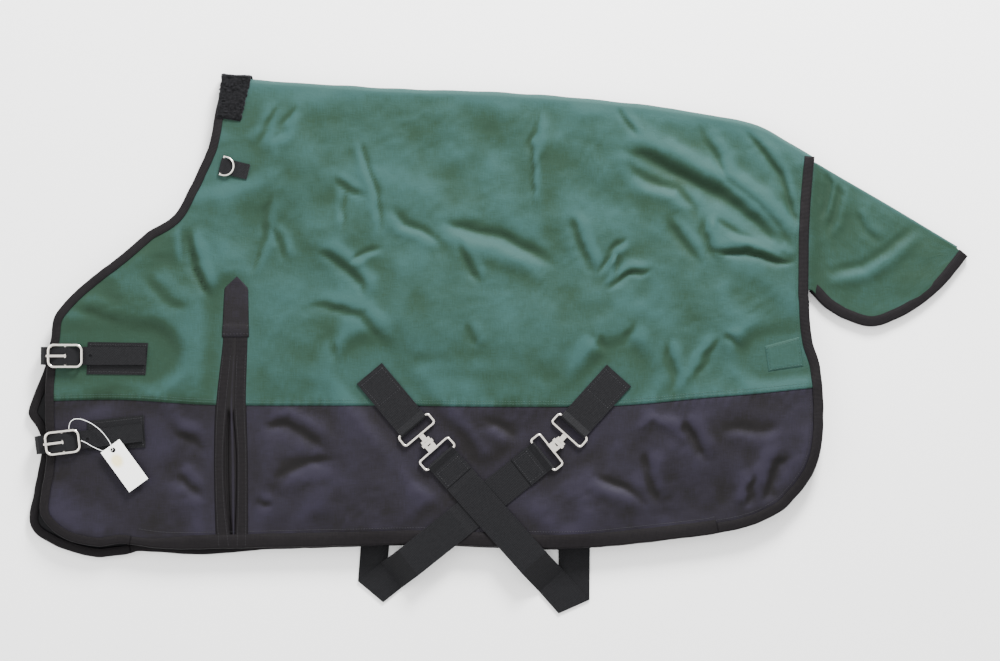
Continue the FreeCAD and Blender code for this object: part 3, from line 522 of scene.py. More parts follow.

# Skirts. The lower part of each half is black nylon, sewn under the shell's lower edge,
# and the shoulder gusset parts it into a chest piece and a flank piece.
# The crest attribute paints light and shade on this cloth too, paler and more purple on ridges and lit
# slopes.
black_nylon = woven_cloth("coated_nylon_black", "#0e0d0d", "#151314", "#221f2a", 1.6, 0.02, "#8a84a8", 0.55)
GUSSET_FRONT = [(-413, 9), (-427, -92), (-430, -161), (-426, -285), (-424, -330)]
GUSSET_REAR = [(-407, 9), (-407, -92), (-404, -161), (-404, -253), (-408, -330)]
TUCK = 9.0
SKIRT_DROP = 0.9


def half_sides(hem, front):
    """The hem line from front to rear, and the front and rear lines upwards, of one half. They part
    where the outline turns most, at the round corners of the chest and of the rump."""
    edge = np.vstack([smooth_line(REAR, 900), smooth_line(hem, 900)[1:], smooth_line(front, 1300)[1:]])
    rump = int(np.argmin(np.linalg.norm(edge - np.array([474.0, -228.0]), axis=1)))
    low_front = edge[1700:2300]
    chest = 1700 + int(np.argmin(low_front[:, 0] + low_front[:, 1]))
    return edge[rump:chest + 1][::-1], edge[chest:], edge[:rump + 1][::-1]


def skirt_plan(hem, front, which, columns, rows):
    """The plan of a skirt piece, from its hem up to a little under the shell's edge. On its gusset side
    it starts where the slit's line comes nearest to the hem."""
    colour = smooth_line(COLOUR_LINE, 900) + np.array([0, TUCK])
    hem_line, front_line, rear_line = half_sides(hem, front)
    slit = smooth_line(GUSSET_FRONT if which == "chest" else GUSSET_REAR, 300)[::-1]
    gap = np.linalg.norm(hem_line[:, None] - slit[None], axis=2)
    on_hem, on_slit = np.unravel_index(np.argmin(gap), gap.shape)
    slit = slit[on_slit:]
    slit = slit[:int(np.argmax(slit[:, 1] > -84.0))]
    if which == "chest":
        left, right = front_line[:int(np.argmax(front_line[:, 1] > -80.5))], slit
        bottom = hem_line[:on_hem + 1].copy()
    else:
        left, right = slit, rear_line[:int(np.argmax(rear_line[:, 1] > -57.5))]
        bottom = hem_line[on_hem:].copy()
    top = between(colour, left[-1], right[-1])
    top[0], top[-1] = left[-1], right[-1]
    bottom[0], bottom[-1] = left[0], right[0]
    return patch_between(respace(bottom, columns), respace(top, columns), respace(left, rows),
                         respace(right, rows))


for side, hem, front, fine in (("near", NEAR_HEM, NEAR_FRONT, 1.0), ("off", OFF_HEM, OFF_FRONT, 0.5)):
    for which, columns, rows, flat_size, flat_area in (("chest", 84, 66, (0.29, 0.25), 0.062),
                                                       ("flank", 270, 68, (0.92, 0.25), 0.195)):
        plan = skirt_plan(hem, front, which, int(columns * fine), int(rows * fine))
        # The near skirts' crest attribute is painted light and shade from their folds; the off skirts get one
        # even value.
        if side == "near":
            points = on_near(plan, -SKIRT_DROP)
            painted_crest_light = crest_of(points)
        else:
            points = on_off(plan, SKIRT_DROP)
            painted_crest_light = np.full(points.shape[:2], 0.3)
        skirt = grid_piece(f"{side}_{which}_skirt_cloth", points, black_nylon, None, CLOTH_THICK, painted_crest_light)
        stands_for(skirt, f"{side}_{which}_skirt")


def left_of(line):
    """The unit vector to the left of a plan line's direction, at each of its points."""
    ahead = np.gradient(line, axis=0)
    ahead /= np.linalg.norm(ahead, axis=1)[:, None]
    return np.stack([-ahead[:, 1], ahead[:, 0]], axis=1)


def stitch_rows(name, rows, level, material, pitch=4.2, long=3.0, wide=0.7):
    """Lock stitches along plan lines: each is a half round of thread, flattened at its ends, that
    stands on the surface whose height level gives; a row of them is spaced at the pitch."""
    count = 5
    t = np.linspace(-1, 1, count)
    ring = np.linspace(0, math.pi, count)
    shape = np.sqrt(np.clip(1 - t**2, 0.05, 1))
    local = np.stack([np.broadcast_to((t * long / 2)[:, None], (count, count)),
                      -(shape[:, None] * np.cos(ring)[None]) * wide / 2,
                      (shape[:, None] * np.sin(ring)[None]) * wide * 0.6], axis=-1).reshape(-1, 3)
    index = np.arange(count * count).reshape(count, count)
    over = np.stack([index[:-1, :-1], index[1:, :-1], index[1:, 1:], index[:-1, 1:]], axis=-1).reshape(-1, 4)
    under = np.stack([index[:-1, 0], index[:-1, -1], index[1:, -1], index[1:, 0]], axis=-1)
    quads = np.vstack([over, under])
    points, faces, start = [], [], 0
    for row in rows:
        dense = respace(np.asarray(row, float), 2000)
        spots = respace(dense, max(int(run_length(dense)[-1] / pitch), 2))
        left = left_of(spots)
        ahead = np.stack([left[:, 1], -left[:, 0]], axis=1)
        plan = spots[:, None] + local[None, :, :1] * ahead[:, None] + local[None, :, 1:2] * left[:, None]
        z = level(plan[..., 0], plan[..., 1]) + local[None, :, 2]
        points.append(np.dstack([plan, z]).reshape(-1, 3))
        first = start + len(local) * np.arange(len(spots))
        faces.append((quads[None] + first[:, None, None]).reshape(-1, 4))
        start += len(points[-1])
    points, faces = np.vstack(points), np.vstack(faces)
    mesh = bpy.data.meshes.new(name)
    mesh.from_pydata((points * 0.001).tolist(), [], faces.tolist())
    mesh.polygons.foreach_set("use_smooth", np.ones(len(faces), bool))
    mesh.materials.append(material)
    piece = bpy.data.objects.new(name, mesh)
    bpy.context.scene.collection.objects.link(piece)
    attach(piece, "root")


def thread(name, colour):
    """Bonded polyester thread: a fine twist over one dyed colour."""
    made, tree = new_material(name)
    place = add(tree, "ShaderNodeTexCoord")
    twist = add(tree, "ShaderNodeTexWave", {
        "Vector": place.outputs["Object"], "Scale": 600.0, "Distortion": 0.3}, bands_direction="DIAGONAL")
    light = linear(colour)
    dark = [c * 0.55 for c in light[:3]] + [1.0]
    ramp = add(tree, "ShaderNodeValToRGB", {"Fac": twist.outputs["Fac"]}, stops=[(0.0, dark), (1.0, light)])
    finish_material(tree, add(tree, "ShaderNodeBsdfPrincipled", {
        "Base Color": ramp.outputs[0], "Roughness": 0.5, "Specular IOR Level": 0.4}))
    return made


green_thread = thread("polyester_thread_green", "#20453c")
black_thread = thread("polyester_thread_black", "#1b1a1f")

# The shell's lower edge is sewn down in two rows, a little above its cut edge. The skirt is sewn above the
# hem band and beside the rear binding, and the shell beside the rear binding.
seam = between(smooth_line(COLOUR_LINE, 900), (-696, -88), (488, -68))
open_seam = [seam[seam[:, 0] < -442], seam[seam[:, 0] > -390]]
seam_rows = [line + np.array([0, gap]) for line in open_seam for gap in (4.5, 8.5)]
stitch_rows("near_colour_seam_stitching", seam_rows, lambda x, y: near_height(x, y) + 0.15,
            green_thread)
HEM_ROW_IN, REAR_ROW_IN = 25.0, 19.0
hem_edge, rear_edge = smooth_line(NEAR_HEM, 700), smooth_line(REAR, 700)
hem_row = hem_edge - HEM_ROW_IN * left_of(hem_edge)
hem_row = hem_row[(hem_row[:, 0] < 338) & (hem_row[:, 0] > -560)]
rear_row = rear_edge - REAR_ROW_IN * left_of(rear_edge)
stitch_rows("near_edge_stitching", [hem_row, rear_row[rear_row[:, 1] < -84]],
            lambda x, y: near_height(x, y) - 0.75, black_thread)
stitch_rows("near_rump_stitching", [rear_row[rear_row[:, 1] > -56]],
            lambda x, y: near_height(x, y) + 0.15, green_thread)

# Batting. A sheet of polyester wadding folded with the shell, between it and the lining.
# Loose fibre, held only by the seams, so it fills the room that the shell leaves it.
wadding, tree = new_material("polyester_wadding_white")
place = add(tree, "ShaderNodeUVMap", uv_map="flat")
fibre = add(tree, "ShaderNodeTexNoise", {"Vector": place.outputs[0], "Scale": 260.0, "Detail": 5.0,
                                         "Roughness": 0.7})
tone = add(tree, "ShaderNodeValToRGB", {"Fac": fibre.outputs["Fac"]},
           stops=[(0.0, linear("#b9b8b2")), (1.0, linear("#efeeea"))])
fluff = add(tree, "ShaderNodeBump", {"Strength": 0.6, "Distance": 0.002, "Height": fibre.outputs["Fac"]})
finish_material(tree, add(tree, "ShaderNodeBsdfPrincipled", {
    "Base Color": tone.outputs[0], "Roughness": 0.95, "Specular IOR Level": 0.1, "Sheen Weight": 0.3,
    "Normal": fluff.outputs[0]}))


LAYER_INSET, COLLAR_INSET = 4.0, 11.0


def whole_half(hem, front, columns, rows):
    """The plan of a whole half, hem to spine, drawn in from its edges, and more at the collar."""
    bottom, left, right = half_sides(hem, front)
    left = np.vstack([left, smooth_line(COLLAR, 60)[1:]])
    top = smooth_line(SPINE, 500)
    plan = patch_between(respace(bottom, columns), respace(top, columns), respace(left, rows),
                         respace(right, rows))
    middle = np.array([-60.0, 40.0])
    reach = np.array([700.0, 370.0])
    plan = plan - LAYER_INSET * np.clip((plan - middle) / reach, -1, 1)
    by_collar = np.clip((plan[..., 1] - 300) / 60, 0, 1) * np.clip(1 - (plan[..., 0] + 445) / 120, 0, 1)
    plan[..., 0] += COLLAR_INSET * by_collar
    return plan


def slit_dip(x, y):
    """How far the layers under the gusset's slit sink to leave room for its folded panel."""
    d, _, _ = to_line(x, y, [(-410, 30), (-417, -92), (-416, -330)])
    return 5.5 * np.clip(1.6 - d / 24.0, 0, 1)


def folded_layer(name, material, near_gap, off_gap, thick, spine_inset, columns, rows, sink=0.0):
    """A layer folded round the spine: its near face follows the near cloth at near_gap below it and its
    off face the off cloth at off_gap above it, with a half circle of rows between them. sink is its share
    of the dip under the slit."""
    near = pull_in(whole_half(NEAR_HEM, NEAR_FRONT, columns, rows), spine_inset)
    off = pull_in(whole_half(OFF_HEM, OFF_FRONT, columns, rows // 2), spine_inset)
    top = on_near(near, -near_gap - sink * slit_dip(near[..., 0], near[..., 1]))
    under = on_off(off, off_gap)
    bend = np.linspace(0, 1, 8)[1:-1, None]
    radius = (top[-1:, :, 2] - under[:1, :, 2]) / 2
    turned = np.empty((len(bend), columns, 3))
    turned[..., 0] = top[-1:, :, 0]
    turned[..., 1] = top[-1:, :, 1] + np.minimum(radius, spine_inset - near_gap) * np.sin(math.pi * bend)
    turned[..., 2] = under[:1, :, 2] + radius * (1 + np.cos(math.pi * bend))
    points = np.vstack([top, turned, under])
    return grid_piece(name, points, material, None, thick)


batting = folded_layer("wadding_layer", wadding, 3.6, 2.2, 4.0, 11.0, 190, 100, sink=1.0)
stands_for(batting, "batting")

# Lining. Black nylon taffeta, folded inside the wadding; it faces itself across the gap
# between the halves and is caught in the bindings all round.
taffeta = woven_cloth("nylon_taffeta_black", "#08080a", "#0e0e10", "#161618", 1.6, 0.05, "#9a9aa8", 0.4)
lining = folded_layer("lining_cloth", taffeta, 8.4, 8.4, CLOTH_THICK, 15.0, 150, 60)
stands_for(lining, "lining")

# Bindings. Black ribbed polyester tape folded over every cut edge of the rug and sewn through,
# 12 mm each side; along the hem the skirt's own cloth is turned over in a wider band.
def ribbed_tape(name, low, high, rib_mm, rough):
    """Woven tape: ribs run across the tape's length, told by the flat map, with a fine cross weave."""
    made, tree = new_material(name)
    uv = add(tree, "ShaderNodeUVMap", uv_map="flat")
    band = 2 * math.pi / (20.0 * rib_mm * 0.001)
    ribs = add(tree, "ShaderNodeTexWave", {"Vector": uv.outputs[0], "Scale": band, "Distortion": 0.4},
               bands_direction="X")
    fine = add(tree, "ShaderNodeTexWave", {"Vector": uv.outputs[0], "Scale": band * 0.8, "Distortion": 0.4},
               bands_direction="Y")
    fibre = add(tree, "ShaderNodeTexNoise", {"Vector": uv.outputs[0], "Scale": 160.0, "Detail": 4.0})
    blend = add(tree, "ShaderNodeMath", {0: ribs.outputs["Fac"], 1: 0.75, 2: fibre.outputs["Fac"]},
                operation="MULTIPLY_ADD")
    with_fine = add(tree, "ShaderNodeMath", {0: fine.outputs["Fac"], 1: 0.25, 2: blend.outputs[0]},
                    operation="MULTIPLY_ADD")
    halved = add(tree, "ShaderNodeMath", {0: with_fine.outputs[0], 1: 0.5}, operation="MULTIPLY")
    ramp = add(tree, "ShaderNodeValToRGB", {"Fac": halved.outputs[0]},
               stops=[(0.15, linear(low)), (0.85, linear(high))])
    raised = add(tree, "ShaderNodeBump", {
        "Strength": 0.6, "Distance": 0.0005, "Height": with_fine.outputs[0]})
    finish_material(tree, add(tree, "ShaderNodeBsdfPrincipled", {
        "Base Color": ramp.outputs[0], "Roughness": rough, "Specular IOR Level": 0.1, "Sheen Weight": 0.02,
        "Sheen Tint": linear("#8f8a9c"), "Normal": raised.outputs[0]}))
    return made


binding_tape = ribbed_tape("polyester_binding_black", "#060506", "#141113", 2.0, 0.65)


def carried(line, profile, lift=None, narrow=None):
    """A profile of (outwards, up) points carried along a plan line, whose outside is on its left.
    Rows follow the profile and columns the line; lift adds a height to each, by the line's own place,
    and narrow scales the inward reach at each column."""
    profile = np.asarray(profile, float)
    reach = np.broadcast_to(profile[:, :1], (len(profile), len(line)))
    if narrow is not None:
        reach = np.where(reach < -3, reach * narrow[None], reach)
    plan = line[None] + reach[..., None] * left_of(line)[None]
    points = np.dstack([plan, np.broadcast_to(profile[:, 1:2], plan.shape[:2])]).copy()
    if lift is not None:
        points[..., 2] += lift(points[..., 0], points[..., 1], points[..., 2])
    return points


def length_map(line, profile):
    """UV in millimetres for a carried profile: distance along the line and round the profile."""
    along, round_it = run_length(line), run_length(np.asarray(profile, float))
    return np.dstack([np.broadcast_to(along[None], (len(profile), len(line))),
                      np.broadcast_to(round_it[:, None], (len(profile), len(line)))])


def near_lift(x, y, z):
    """How much a near edge rises with the cloth: fully on top, not at all underneath."""
    share = np.clip((z - 17.0) / 10.0, 0, 1)
    return (near_height(x, y) - NEAR_TOP) * share


def edge_tape(name, line, wide, high, low, inner, node, body="root", near=False, narrow=None):
    """A tape folded round an edge: a flange of width wide on top, a round nose just outside the edge, and a
    flange of width inner below; it wavers a little along the edge."""
    middle = (high + low) / 2
    half = (high - low) / 2
    nose = [(0.5 + 0.9 * math.cos(a) - 1.6 * (1 - math.cos(a)), middle + half * math.sin(a))
            for a in np.linspace(1.25, -1.25, 9)]
    profile = [(-wide, high - 0.45), (-wide + 0.6, high), (-wide * 0.5, high + 0.12), (-2.6, high)]
    profile += nose + [(-2.6, low), (-inner * 0.5, low - 0.02), (-inner, low + 0.05)]
    ripple = lattice_noise(line[:, 0], line[:, 1], 16, 51) * 0.5
    wavy = line + ripple[:, None] * left_of(line)
    points = carried(wavy, profile, near_lift if near else None, narrow)
    piece = grid_piece(name, points, binding_tape, length_map(line, profile), CLOTH_THICK)
    stands_for(piece, node, body)


for side, hem, front, high, low in (("near", NEAR_HEM, NEAR_FRONT, 28.2, 17.2),
                                    ("off", OFF_HEM, OFF_FRONT, 11.2, 0.02)):
    near = side == "near"
    front_line = np.vstack([smooth_line(front, 400), smooth_line(COLLAR, 40)[1:]])
    for part, line, wide in (("front", respace(front_line, 300), 13.0),
                             ("rear", smooth_line(REAR, 230), 15.0)):
        edge_tape(f"{side}_{part}_binding_tape", line, wide, high, low, 12.0, f"{side}_{part}_binding",
                  near=near)
    hem_line = smooth_line(hem, 260)
    narrow = 0.56 + 0.44 * ease((hem_line[:, 0] - hem_line[-1, 0]) / 110.0)
    edge_tape(f"{side}_hem_band", hem_line, 21.0, high - 0.35, low + 0.3, 18.0, f"{side}_hem_binding",
              near=near, narrow=narrow)

# Shoulder gusset. A slit in the shell and skirt with its edges bound in tape, a folded black panel behind
# it that opens with the shoulder, and a pointed cap sewn over its top end.
SLIT_FRONT = [(-411, 22), (-412, 0), (-421, -91), (-427, -172), (-424, -250), (-416, -312)]
SLIT_REAR = [(-410, 22), (-410.5, 0), (-413, -91), (-408, -172), (-408.5, -250), (-411, -312)]
TAPE_FRONT = [(-430, 22), (-430.5, 0), (-440.5, -91), (-443, -172), (-442, -250), (-440, -312)]
TAPE_REAR = [(-390, 22), (-390, 0), (-392.5, -91), (-390.5, -172), (-390, -250), (-390, -312)]
THIN_CLOTH = 0.7


def sewn_patch(side, part, left, right, columns, steep, above, ledge, material, painted_crest_light):
    """A piece of cloth sewn flat on a half, with edges that ease down to it. above is its height over the
    near cloth at its edges and what it rises inside them, steep how fast it rises, across and along, and
    ledge the height of the fold at its lower end."""
    bottom, top = [np.linspace(left[k], right[k], columns) for k in (0, -1)]
    plan = patch_between(bottom, top, left, right)
    u = np.linspace(0, 1, columns)[None, :]
    v = np.linspace(0, 1, len(left))[:, None]
    rim = (np.clip(steep[0] * np.minimum(u, 1 - u), 0, 1)
           * np.clip(steep[1] * np.minimum(v, 1 - v), 0, 1))
    if side == "near":
        rise = above[0] + above[1] * rim + ledge * (1 - np.clip((v - 0.17) * 40, 0, 1))
        points = on_near(plan, rise)
    else:
        points = np.dstack([plan, 0.75 - 0.65 * rim])[::-1]
    piece = grid_piece(f"{side}_{part}_cloth", points, material, None, THIN_CLOTH,
                       painted_crest_light + 0 * points[..., 2])
    stands_for(piece, f"{side}_{part}")


SLIT_ROWS, SLIT_COLUMNS, TAPE_COLUMNS = 96, 34, 11
SLIT_LENGTH = 335
PANEL_LEVEL, OFF_PANEL_LEVEL = 24.4, 1.9
CAP_LEFT = [(-430.5, 12), (-429, 50), (-427, 86), (-425.5, 90), (-407, 107)]
CAP_RIGHT = [(-388.5, 12), (-389, 50), (-389.5, 86), (-391, 90), (-407, 107)]
front_side, rear_side = [respace(smooth_line(line, 300), SLIT_ROWS)[::-1] for line in (SLIT_FRONT, SLIT_REAR)]
for side in ("near", "off"):
    near = side == "near"
    across = np.linspace(0, 1, SLIT_COLUMNS)[None, :, None]
    plan = (front_side - [3, 0])[:, None] * (1 - across) + (rear_side + [3, 0])[:, None] * across
    u = np.broadcast_to(across[..., 0], plan.shape[:2])
    v = np.linspace(0, 1, SLIT_ROWS)[:, None]
    pleat = (3.2 * np.exp(-((u - 0.60 - 0.05 * np.sin(5 * v)) / 0.14)**2)
             - 2.6 * np.exp(-((u - 0.3) / 0.09)**2))
    pleat = pleat * np.clip(5 * (1 - v), 0, 1) * np.clip(3 + 4 * v, 0, 1)
    if near:
        over_shell = np.clip((plan[..., 1] + 109) / 10.0, 0, 1)
        level = PANEL_LEVEL + pleat
        shown = np.maximum(level, on_near(plan, 0.4 + 0.06 * pleat)[..., 2])
        points = np.dstack([plan, level * (1 - over_shell) + shown * over_shell])
    else:
        points = np.dstack([plan, OFF_PANEL_LEVEL - 0.3 * pleat])[::-1]
    # Its crest attribute is painted light and shade: paler along the pleat's ridge, darker in its fold.
    panel = grid_piece(f"{side}_gusset_cloth", points, black_nylon, None, CLOTH_THICK,
                       np.clip(0.12 + pleat / 9, 0, 1))
    stands_for(panel, f"{side}_gusset_panel")
    for part, inside, outside in (("front", front_side, TAPE_FRONT), ("rear", rear_side, TAPE_REAR)):
        outer = respace(smooth_line(outside, 300), SLIT_ROWS)[::-1]
        t = np.linspace(0, 1, TAPE_COLUMNS)
        crown = 1.1 * np.sqrt(np.clip(1 - (2 * t - 1)**8, 0, 1))
        first, last = (outer, inside) if part == "front" else (inside, outer)
        plan = first[:, None] * (1 - t[None, :, None]) + last[:, None] * t[None, :, None]
        if near:
            points = on_near(plan, crown[None] - 0.4)
        else:
            points = np.dstack([plan, 0.75 - 0.6 * np.broadcast_to(crown[None], plan.shape[:2])])[::-1]
        along = np.linspace(0, SLIT_LENGTH, SLIT_ROWS)
        flat = np.dstack([np.broadcast_to(along[:, None], plan.shape[:2]), plan[..., 0]])
        tape = grid_piece(f"{side}_gusset_{part}_edge", points, binding_tape, flat, THIN_CLOTH)
        stands_for(tape, f"{side}_gusset_{part}_tape")
    sewn_patch(side, "gusset_cap", respace(np.array(CAP_LEFT), 40), respace(np.array(CAP_RIGHT), 40), 24,
               (14, 12), (0.2, 1.1), 0.9, black_nylon, 0.35)

# Each tape is sewn down along both edges, and the cap across its lower end.
rows = []
for inside, outside in ((SLIT_FRONT, TAPE_FRONT), (SLIT_REAR, TAPE_REAR)):
    inner, outer = respace(smooth_line(inside, 200), 200), respace(smooth_line(outside, 200), 200)
    rows += [(inner * (1 - share) + outer * share)[24:] for share in (0.2, 0.82)]
stitch_rows("near_gusset_tape_stitching", rows, lambda x, y: near_height(x, y) + 0.75,
            black_thread)
stitch_rows("near_gusset_cap_stitching", [[(-428, 30), (-391, 30)], [(-428, 17), (-391, 17)]],
            lambda x, y: near_height(x, y) + 1.35 + 0.9 * (y < 24), black_thread)

# Leg patches. A square of the shell's cloth sewn on where the leg strap's ring is anchored inside.
for side in ("near", "off"):
    sewn_patch(side, "leg_patch", respace([(423, -42), (417, -2)], 22), respace([(478, -34), (472, 13)], 22),
               26, (9, 9), (0.1, 1.0), 0.0, green_nylon, 0.5)
inner = np.array([(427, -38.5), (420.5, -5.5), (469, 8.5), (474, -31), (427, -38.5)])
stitch_rows("near_leg_patch_stitching", [inner[k:k + 2] for k in range(4)],
            lambda x, y: near_height(x, y) + 1.05, green_thread)

# Tail flap. A folded flap of the shell's cloth with a thin lining, sewn to the rug's rear edge
# inside the binding, where it hinges; its curved free edge is bound in the same tape.
ROOT_LINE = [(490.5, 84), (491.5, 130), (495, 200), (499.5, 288)]
FLAP_FOLD = [(499.5, 288), (610, 222), (723, 152)]
FLAP_EDGE = [(735.5, 139), (703, 98), (669, 67), (638, 48), (609, 35), (586, 30), (562, 35), (524, 53),
             (490.5, 84)]
FLAP_CREASES = [
    ([(512, 276), (521, 254), (516, 226), (508, 196)], 5, 2.6, 2.6, 8, 10),
    ([(530, 262), (535, 236), (526, 196), (516, 170)], 6, 2.2, 2.4, 9, 11),
    ([(660, 190), (632, 166), (606, 145), (572, 124), (510, 112)], 8, 2.2, 3.2, 12, 15),
    ([(560, 210), (575, 180), (600, 158)], 6, 1.6, 1.6, 9, 11),
]


def flap_relief(x, y):
    """Height of the flap's near cloth above its flat level: swells, its creases and small crumples."""
    height = 0.8 + 1.2 * lattice_noise(x, y, 66, 61) + 0.5 * lattice_noise(x, y, 24, 63)
    height = height + 0.2 * lattice_noise(x, y, 11, 65)
    for line, wide, deep, high, ridge_wide, ridge_off in FLAP_CREASES:
        d, side, along = to_line(x, y, line)
        fade = np.clip(4.5 * along, 0, 1) * np.clip(4.5 * (1 - along), 0, 1)
        height = height + fade * (high * np.exp(-((side * d - ridge_off) / ridge_wide)**2)
                                  - deep * np.exp(-(d / wide)**2))
    return np.clip(height, -1.6, 4.5) * edge_fade(x, y, [FLAP_EDGE, FLAP_FOLD], 18.0)


FLAP_REACH = (130.0, 110.0)
ROOT_HIGH, ROOT_LOW = 15.6, 12.6


def flap_layer(name, material, near_level, off_level, inset, thick, columns, rows, wave):
    """A layer of the flap folded along its upper edge. Its root runs in under the rear binding,
    between the rug's halves, where both leaves meet. wave is its share of the flap's relief."""
    bottom = smooth_line(FLAP_EDGE, 400)[::-1]
    top = smooth_line(FLAP_FOLD, 300)
    left = respace(smooth_line(ROOT_LINE, 200), rows) - np.array([9.0, 0.0])
    right = respace([(735.5, 139), (723, 152)], rows)
    bottom = np.vstack([left[0], bottom])
    top = np.vstack([left[-1] + [0, 4], top])
    plan = patch_between(respace(bottom, columns), respace(top, columns), left, right)
    middle = np.array([590.0, 150.0])
    plan = plan - inset * np.clip((plan - middle) / np.array(FLAP_REACH), -1, 1)
    rise = ease((505 - plan[..., 0]) / 20.0)
    high = near_level + wave * flap_relief(plan[..., 0], plan[..., 1]) * (1 - rise)
    high = high + (ROOT_HIGH - near_level) * rise
    low = off_level + (ROOT_LOW - off_level) * rise
    near = np.dstack([plan, high])
    off = np.dstack([plan, low])[::-1]
    bend = np.linspace(0, 1, 8)[1:-1, None]
    turned = np.empty((len(bend), columns, 3))
    turned[..., 0] = near[-1:, :, 0] + 1.6 * np.sin(math.pi * bend)
    turned[..., 1] = near[-1:, :, 1] + 2.6 * np.sin(math.pi * bend)
    share = 0.5 + 0.5 * np.cos(math.pi * bend)
    turned[..., 2] = near[-1:, :, 2] * share + off[:1, :, 2] * (1 - share)
    points = np.vstack([near, turned, off])
    around = run_length(points[:, columns // 3])
    flat = np.dstack([points[..., 0], np.repeat(around[:, None], columns, axis=1)])
    # The crest attribute is painted light and shade from the flap's folds, scaled down so the flap is darker
    # overall.
    return grid_piece(name, points, material, flat, thick, 0.72 * crest_of(points))


flap = flap_layer("tail_flap_cloth", green_nylon, 10.5, 0.12, 2.6, CLOTH_THICK, 120, 84, 1.0)
flap_inside = flap_layer("tail_flap_inside", taffeta, 8.2, 2.4, 5.0, THIN_CLOTH, 60, 40, 0.0)
for piece, node, slot_name, size in ((flap, "tail_flap_shell", "green_shell", (0.25, 0.44)),
                                     (flap_inside, "tail_flap_lining", "lining", (0.24, 0.42))):
    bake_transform(piece)
    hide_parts(node)
flap_line = smooth_line([(736.2, 140)] + FLAP_EDGE[1:-1] + [(490.5, 84)], 170)
for side, high, low in (("near", 11.7, 6.6), ("off", 6.4, 0.02)):
    edge_tape(f"{side}_flap_binding_tape", flap_line, 15.0, high, low, 12.0, f"{side}_flap_binding",
              "tail_flap")

# Webbing. Black polypropylene webbing, 51 mm on the surcingles, 28 mm at the chest and 24 mm at the neck,
# woven in a close rib and sewn with black thread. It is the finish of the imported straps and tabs.
webbing, tree = new_material("polypropylene_webbing_black")
place = add(tree, "ShaderNodeTexCoord")
square = add(tree, "ShaderNodeMapping", {
    "Vector": place.outputs["Object"], "Rotation": (0.0, 0.0, math.radians(49))})
rib, pick = [add(tree, "ShaderNodeTexWave", {
    "Vector": square.outputs[0], "Scale": 2 * math.pi / (20 * step), "Distortion": 0.5},
    bands_direction=across) for across, step in (("X", 0.0032), ("Y", 0.0026))]
woven = add(tree, "ShaderNodeMath", {0: rib.outputs["Fac"], 1: pick.outputs["Fac"]}, operation="MULTIPLY")
fibre = add(tree, "ShaderNodeTexNoise", {"Vector": place.outputs["Object"], "Scale": 420.0, "Detail": 4.0})
mixed = add(tree, "ShaderNodeMath", {0: woven.outputs[0], 1: 0.5, 2: fibre.outputs["Fac"]},
            operation="MULTIPLY_ADD")
ramp = add(tree, "ShaderNodeValToRGB", {"Fac": mixed.outputs[0]},
           stops=[(0.3, linear("#08080a")), (1.0, linear("#161618"))])
raised = add(tree, "ShaderNodeBump", {"Strength": 0.6, "Distance": 0.0005, "Height": mixed.outputs[0]})
finish_material(tree, add(tree, "ShaderNodeBsdfPrincipled", {
    "Base Color": ramp.outputs[0], "Roughness": 0.62, "Specular IOR Level": 0.1, "Sheen Weight": 0.02,
    "Normal": raised.outputs[0]}))

# Hardware. Nickel-plated steel wire and pressings: bright, slightly warm, with fine handling marks. It is
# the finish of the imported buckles, rings, hooks and eyes.
nickel, tree = new_material("nickel_plated_steel")
place = add(tree, "ShaderNodeTexCoord")
marks = add(tree, "ShaderNodeTexNoise", {"Vector": place.outputs["Object"], "Scale": 300.0, "Detail": 3.0})
gloss = add(tree, "ShaderNodeMapRange", {"Value": marks.outputs["Fac"], "To Min": 0.14, "To Max": 0.3})
dents = add(tree, "ShaderNodeBump", {"Strength": 0.08, "Distance": 0.0004, "Height": marks.outputs["Fac"]})
finish_material(tree, add(tree, "ShaderNodeBsdfPrincipled", {
    "Base Color": linear("#d9d4cc"), "Metallic": 1.0, "Roughness": gloss.outputs[0],
    "Normal": dents.outputs[0]}))

# Fleece. Black acrylic pile sewn round the collar's top edge to spare the withers: it lies on the near
# half, turns over the spine and runs a little way back under the off half.
pile, tree = new_material("acrylic_fleece_black")
place = add(tree, "ShaderNodeTexCoord")
tuft = add(tree, "ShaderNodeTexNoise", {"Vector": place.outputs["Object"], "Scale": 260.0, "Detail": 4.0})
ramp = add(tree, "ShaderNodeValToRGB", {"Fac": tuft.outputs["Fac"]},
           stops=[(0.35, linear("#030304")), (0.7, linear("#111113"))])
finish_material(tree, add(tree, "ShaderNodeBsdfPrincipled", {
    "Base Color": ramp.outputs[0], "Roughness": 0.95, "Specular IOR Level": 0.15, "Sheen Weight": 0.5,
    "Sheen Roughness": 0.5, "Sheen Tint": linear("#404046")}))

PILE_ROWS, PILE_COLUMNS, PILE_TURN = 84, 56, 14
PILE_LEVEL = 28.2
left = respace([(-440, 355), (-431.5, 421)], PILE_ROWS)
right = respace([(-401, 349), (-384.5, 418)], PILE_ROWS)
plan = patch_between(*[np.linspace(left[k], right[k], PILE_COLUMNS) for k in (0, -1)], left, right)
u = np.linspace(0, 1, PILE_COLUMNS)[None, :]
v = np.linspace(0, 1, PILE_ROWS)[:, None]
rim = np.sqrt(np.clip(1 - (2 * u - 1)**8, 0, 1)) * np.sqrt(np.clip(1 - (1 - v)**14, 0, 1))


def tufts(x, y):
    """Height of the pile: knots of fibre a few millimetres apart, with finer curls on them."""
    knots = 1.5 * np.abs(lattice_noise(x, y, 4.6, 71)) + 0.9 * np.abs(lattice_noise(x, y, 2.3, 73))
    return knots + 0.7 * lattice_noise(x, y, 9.0, 75)


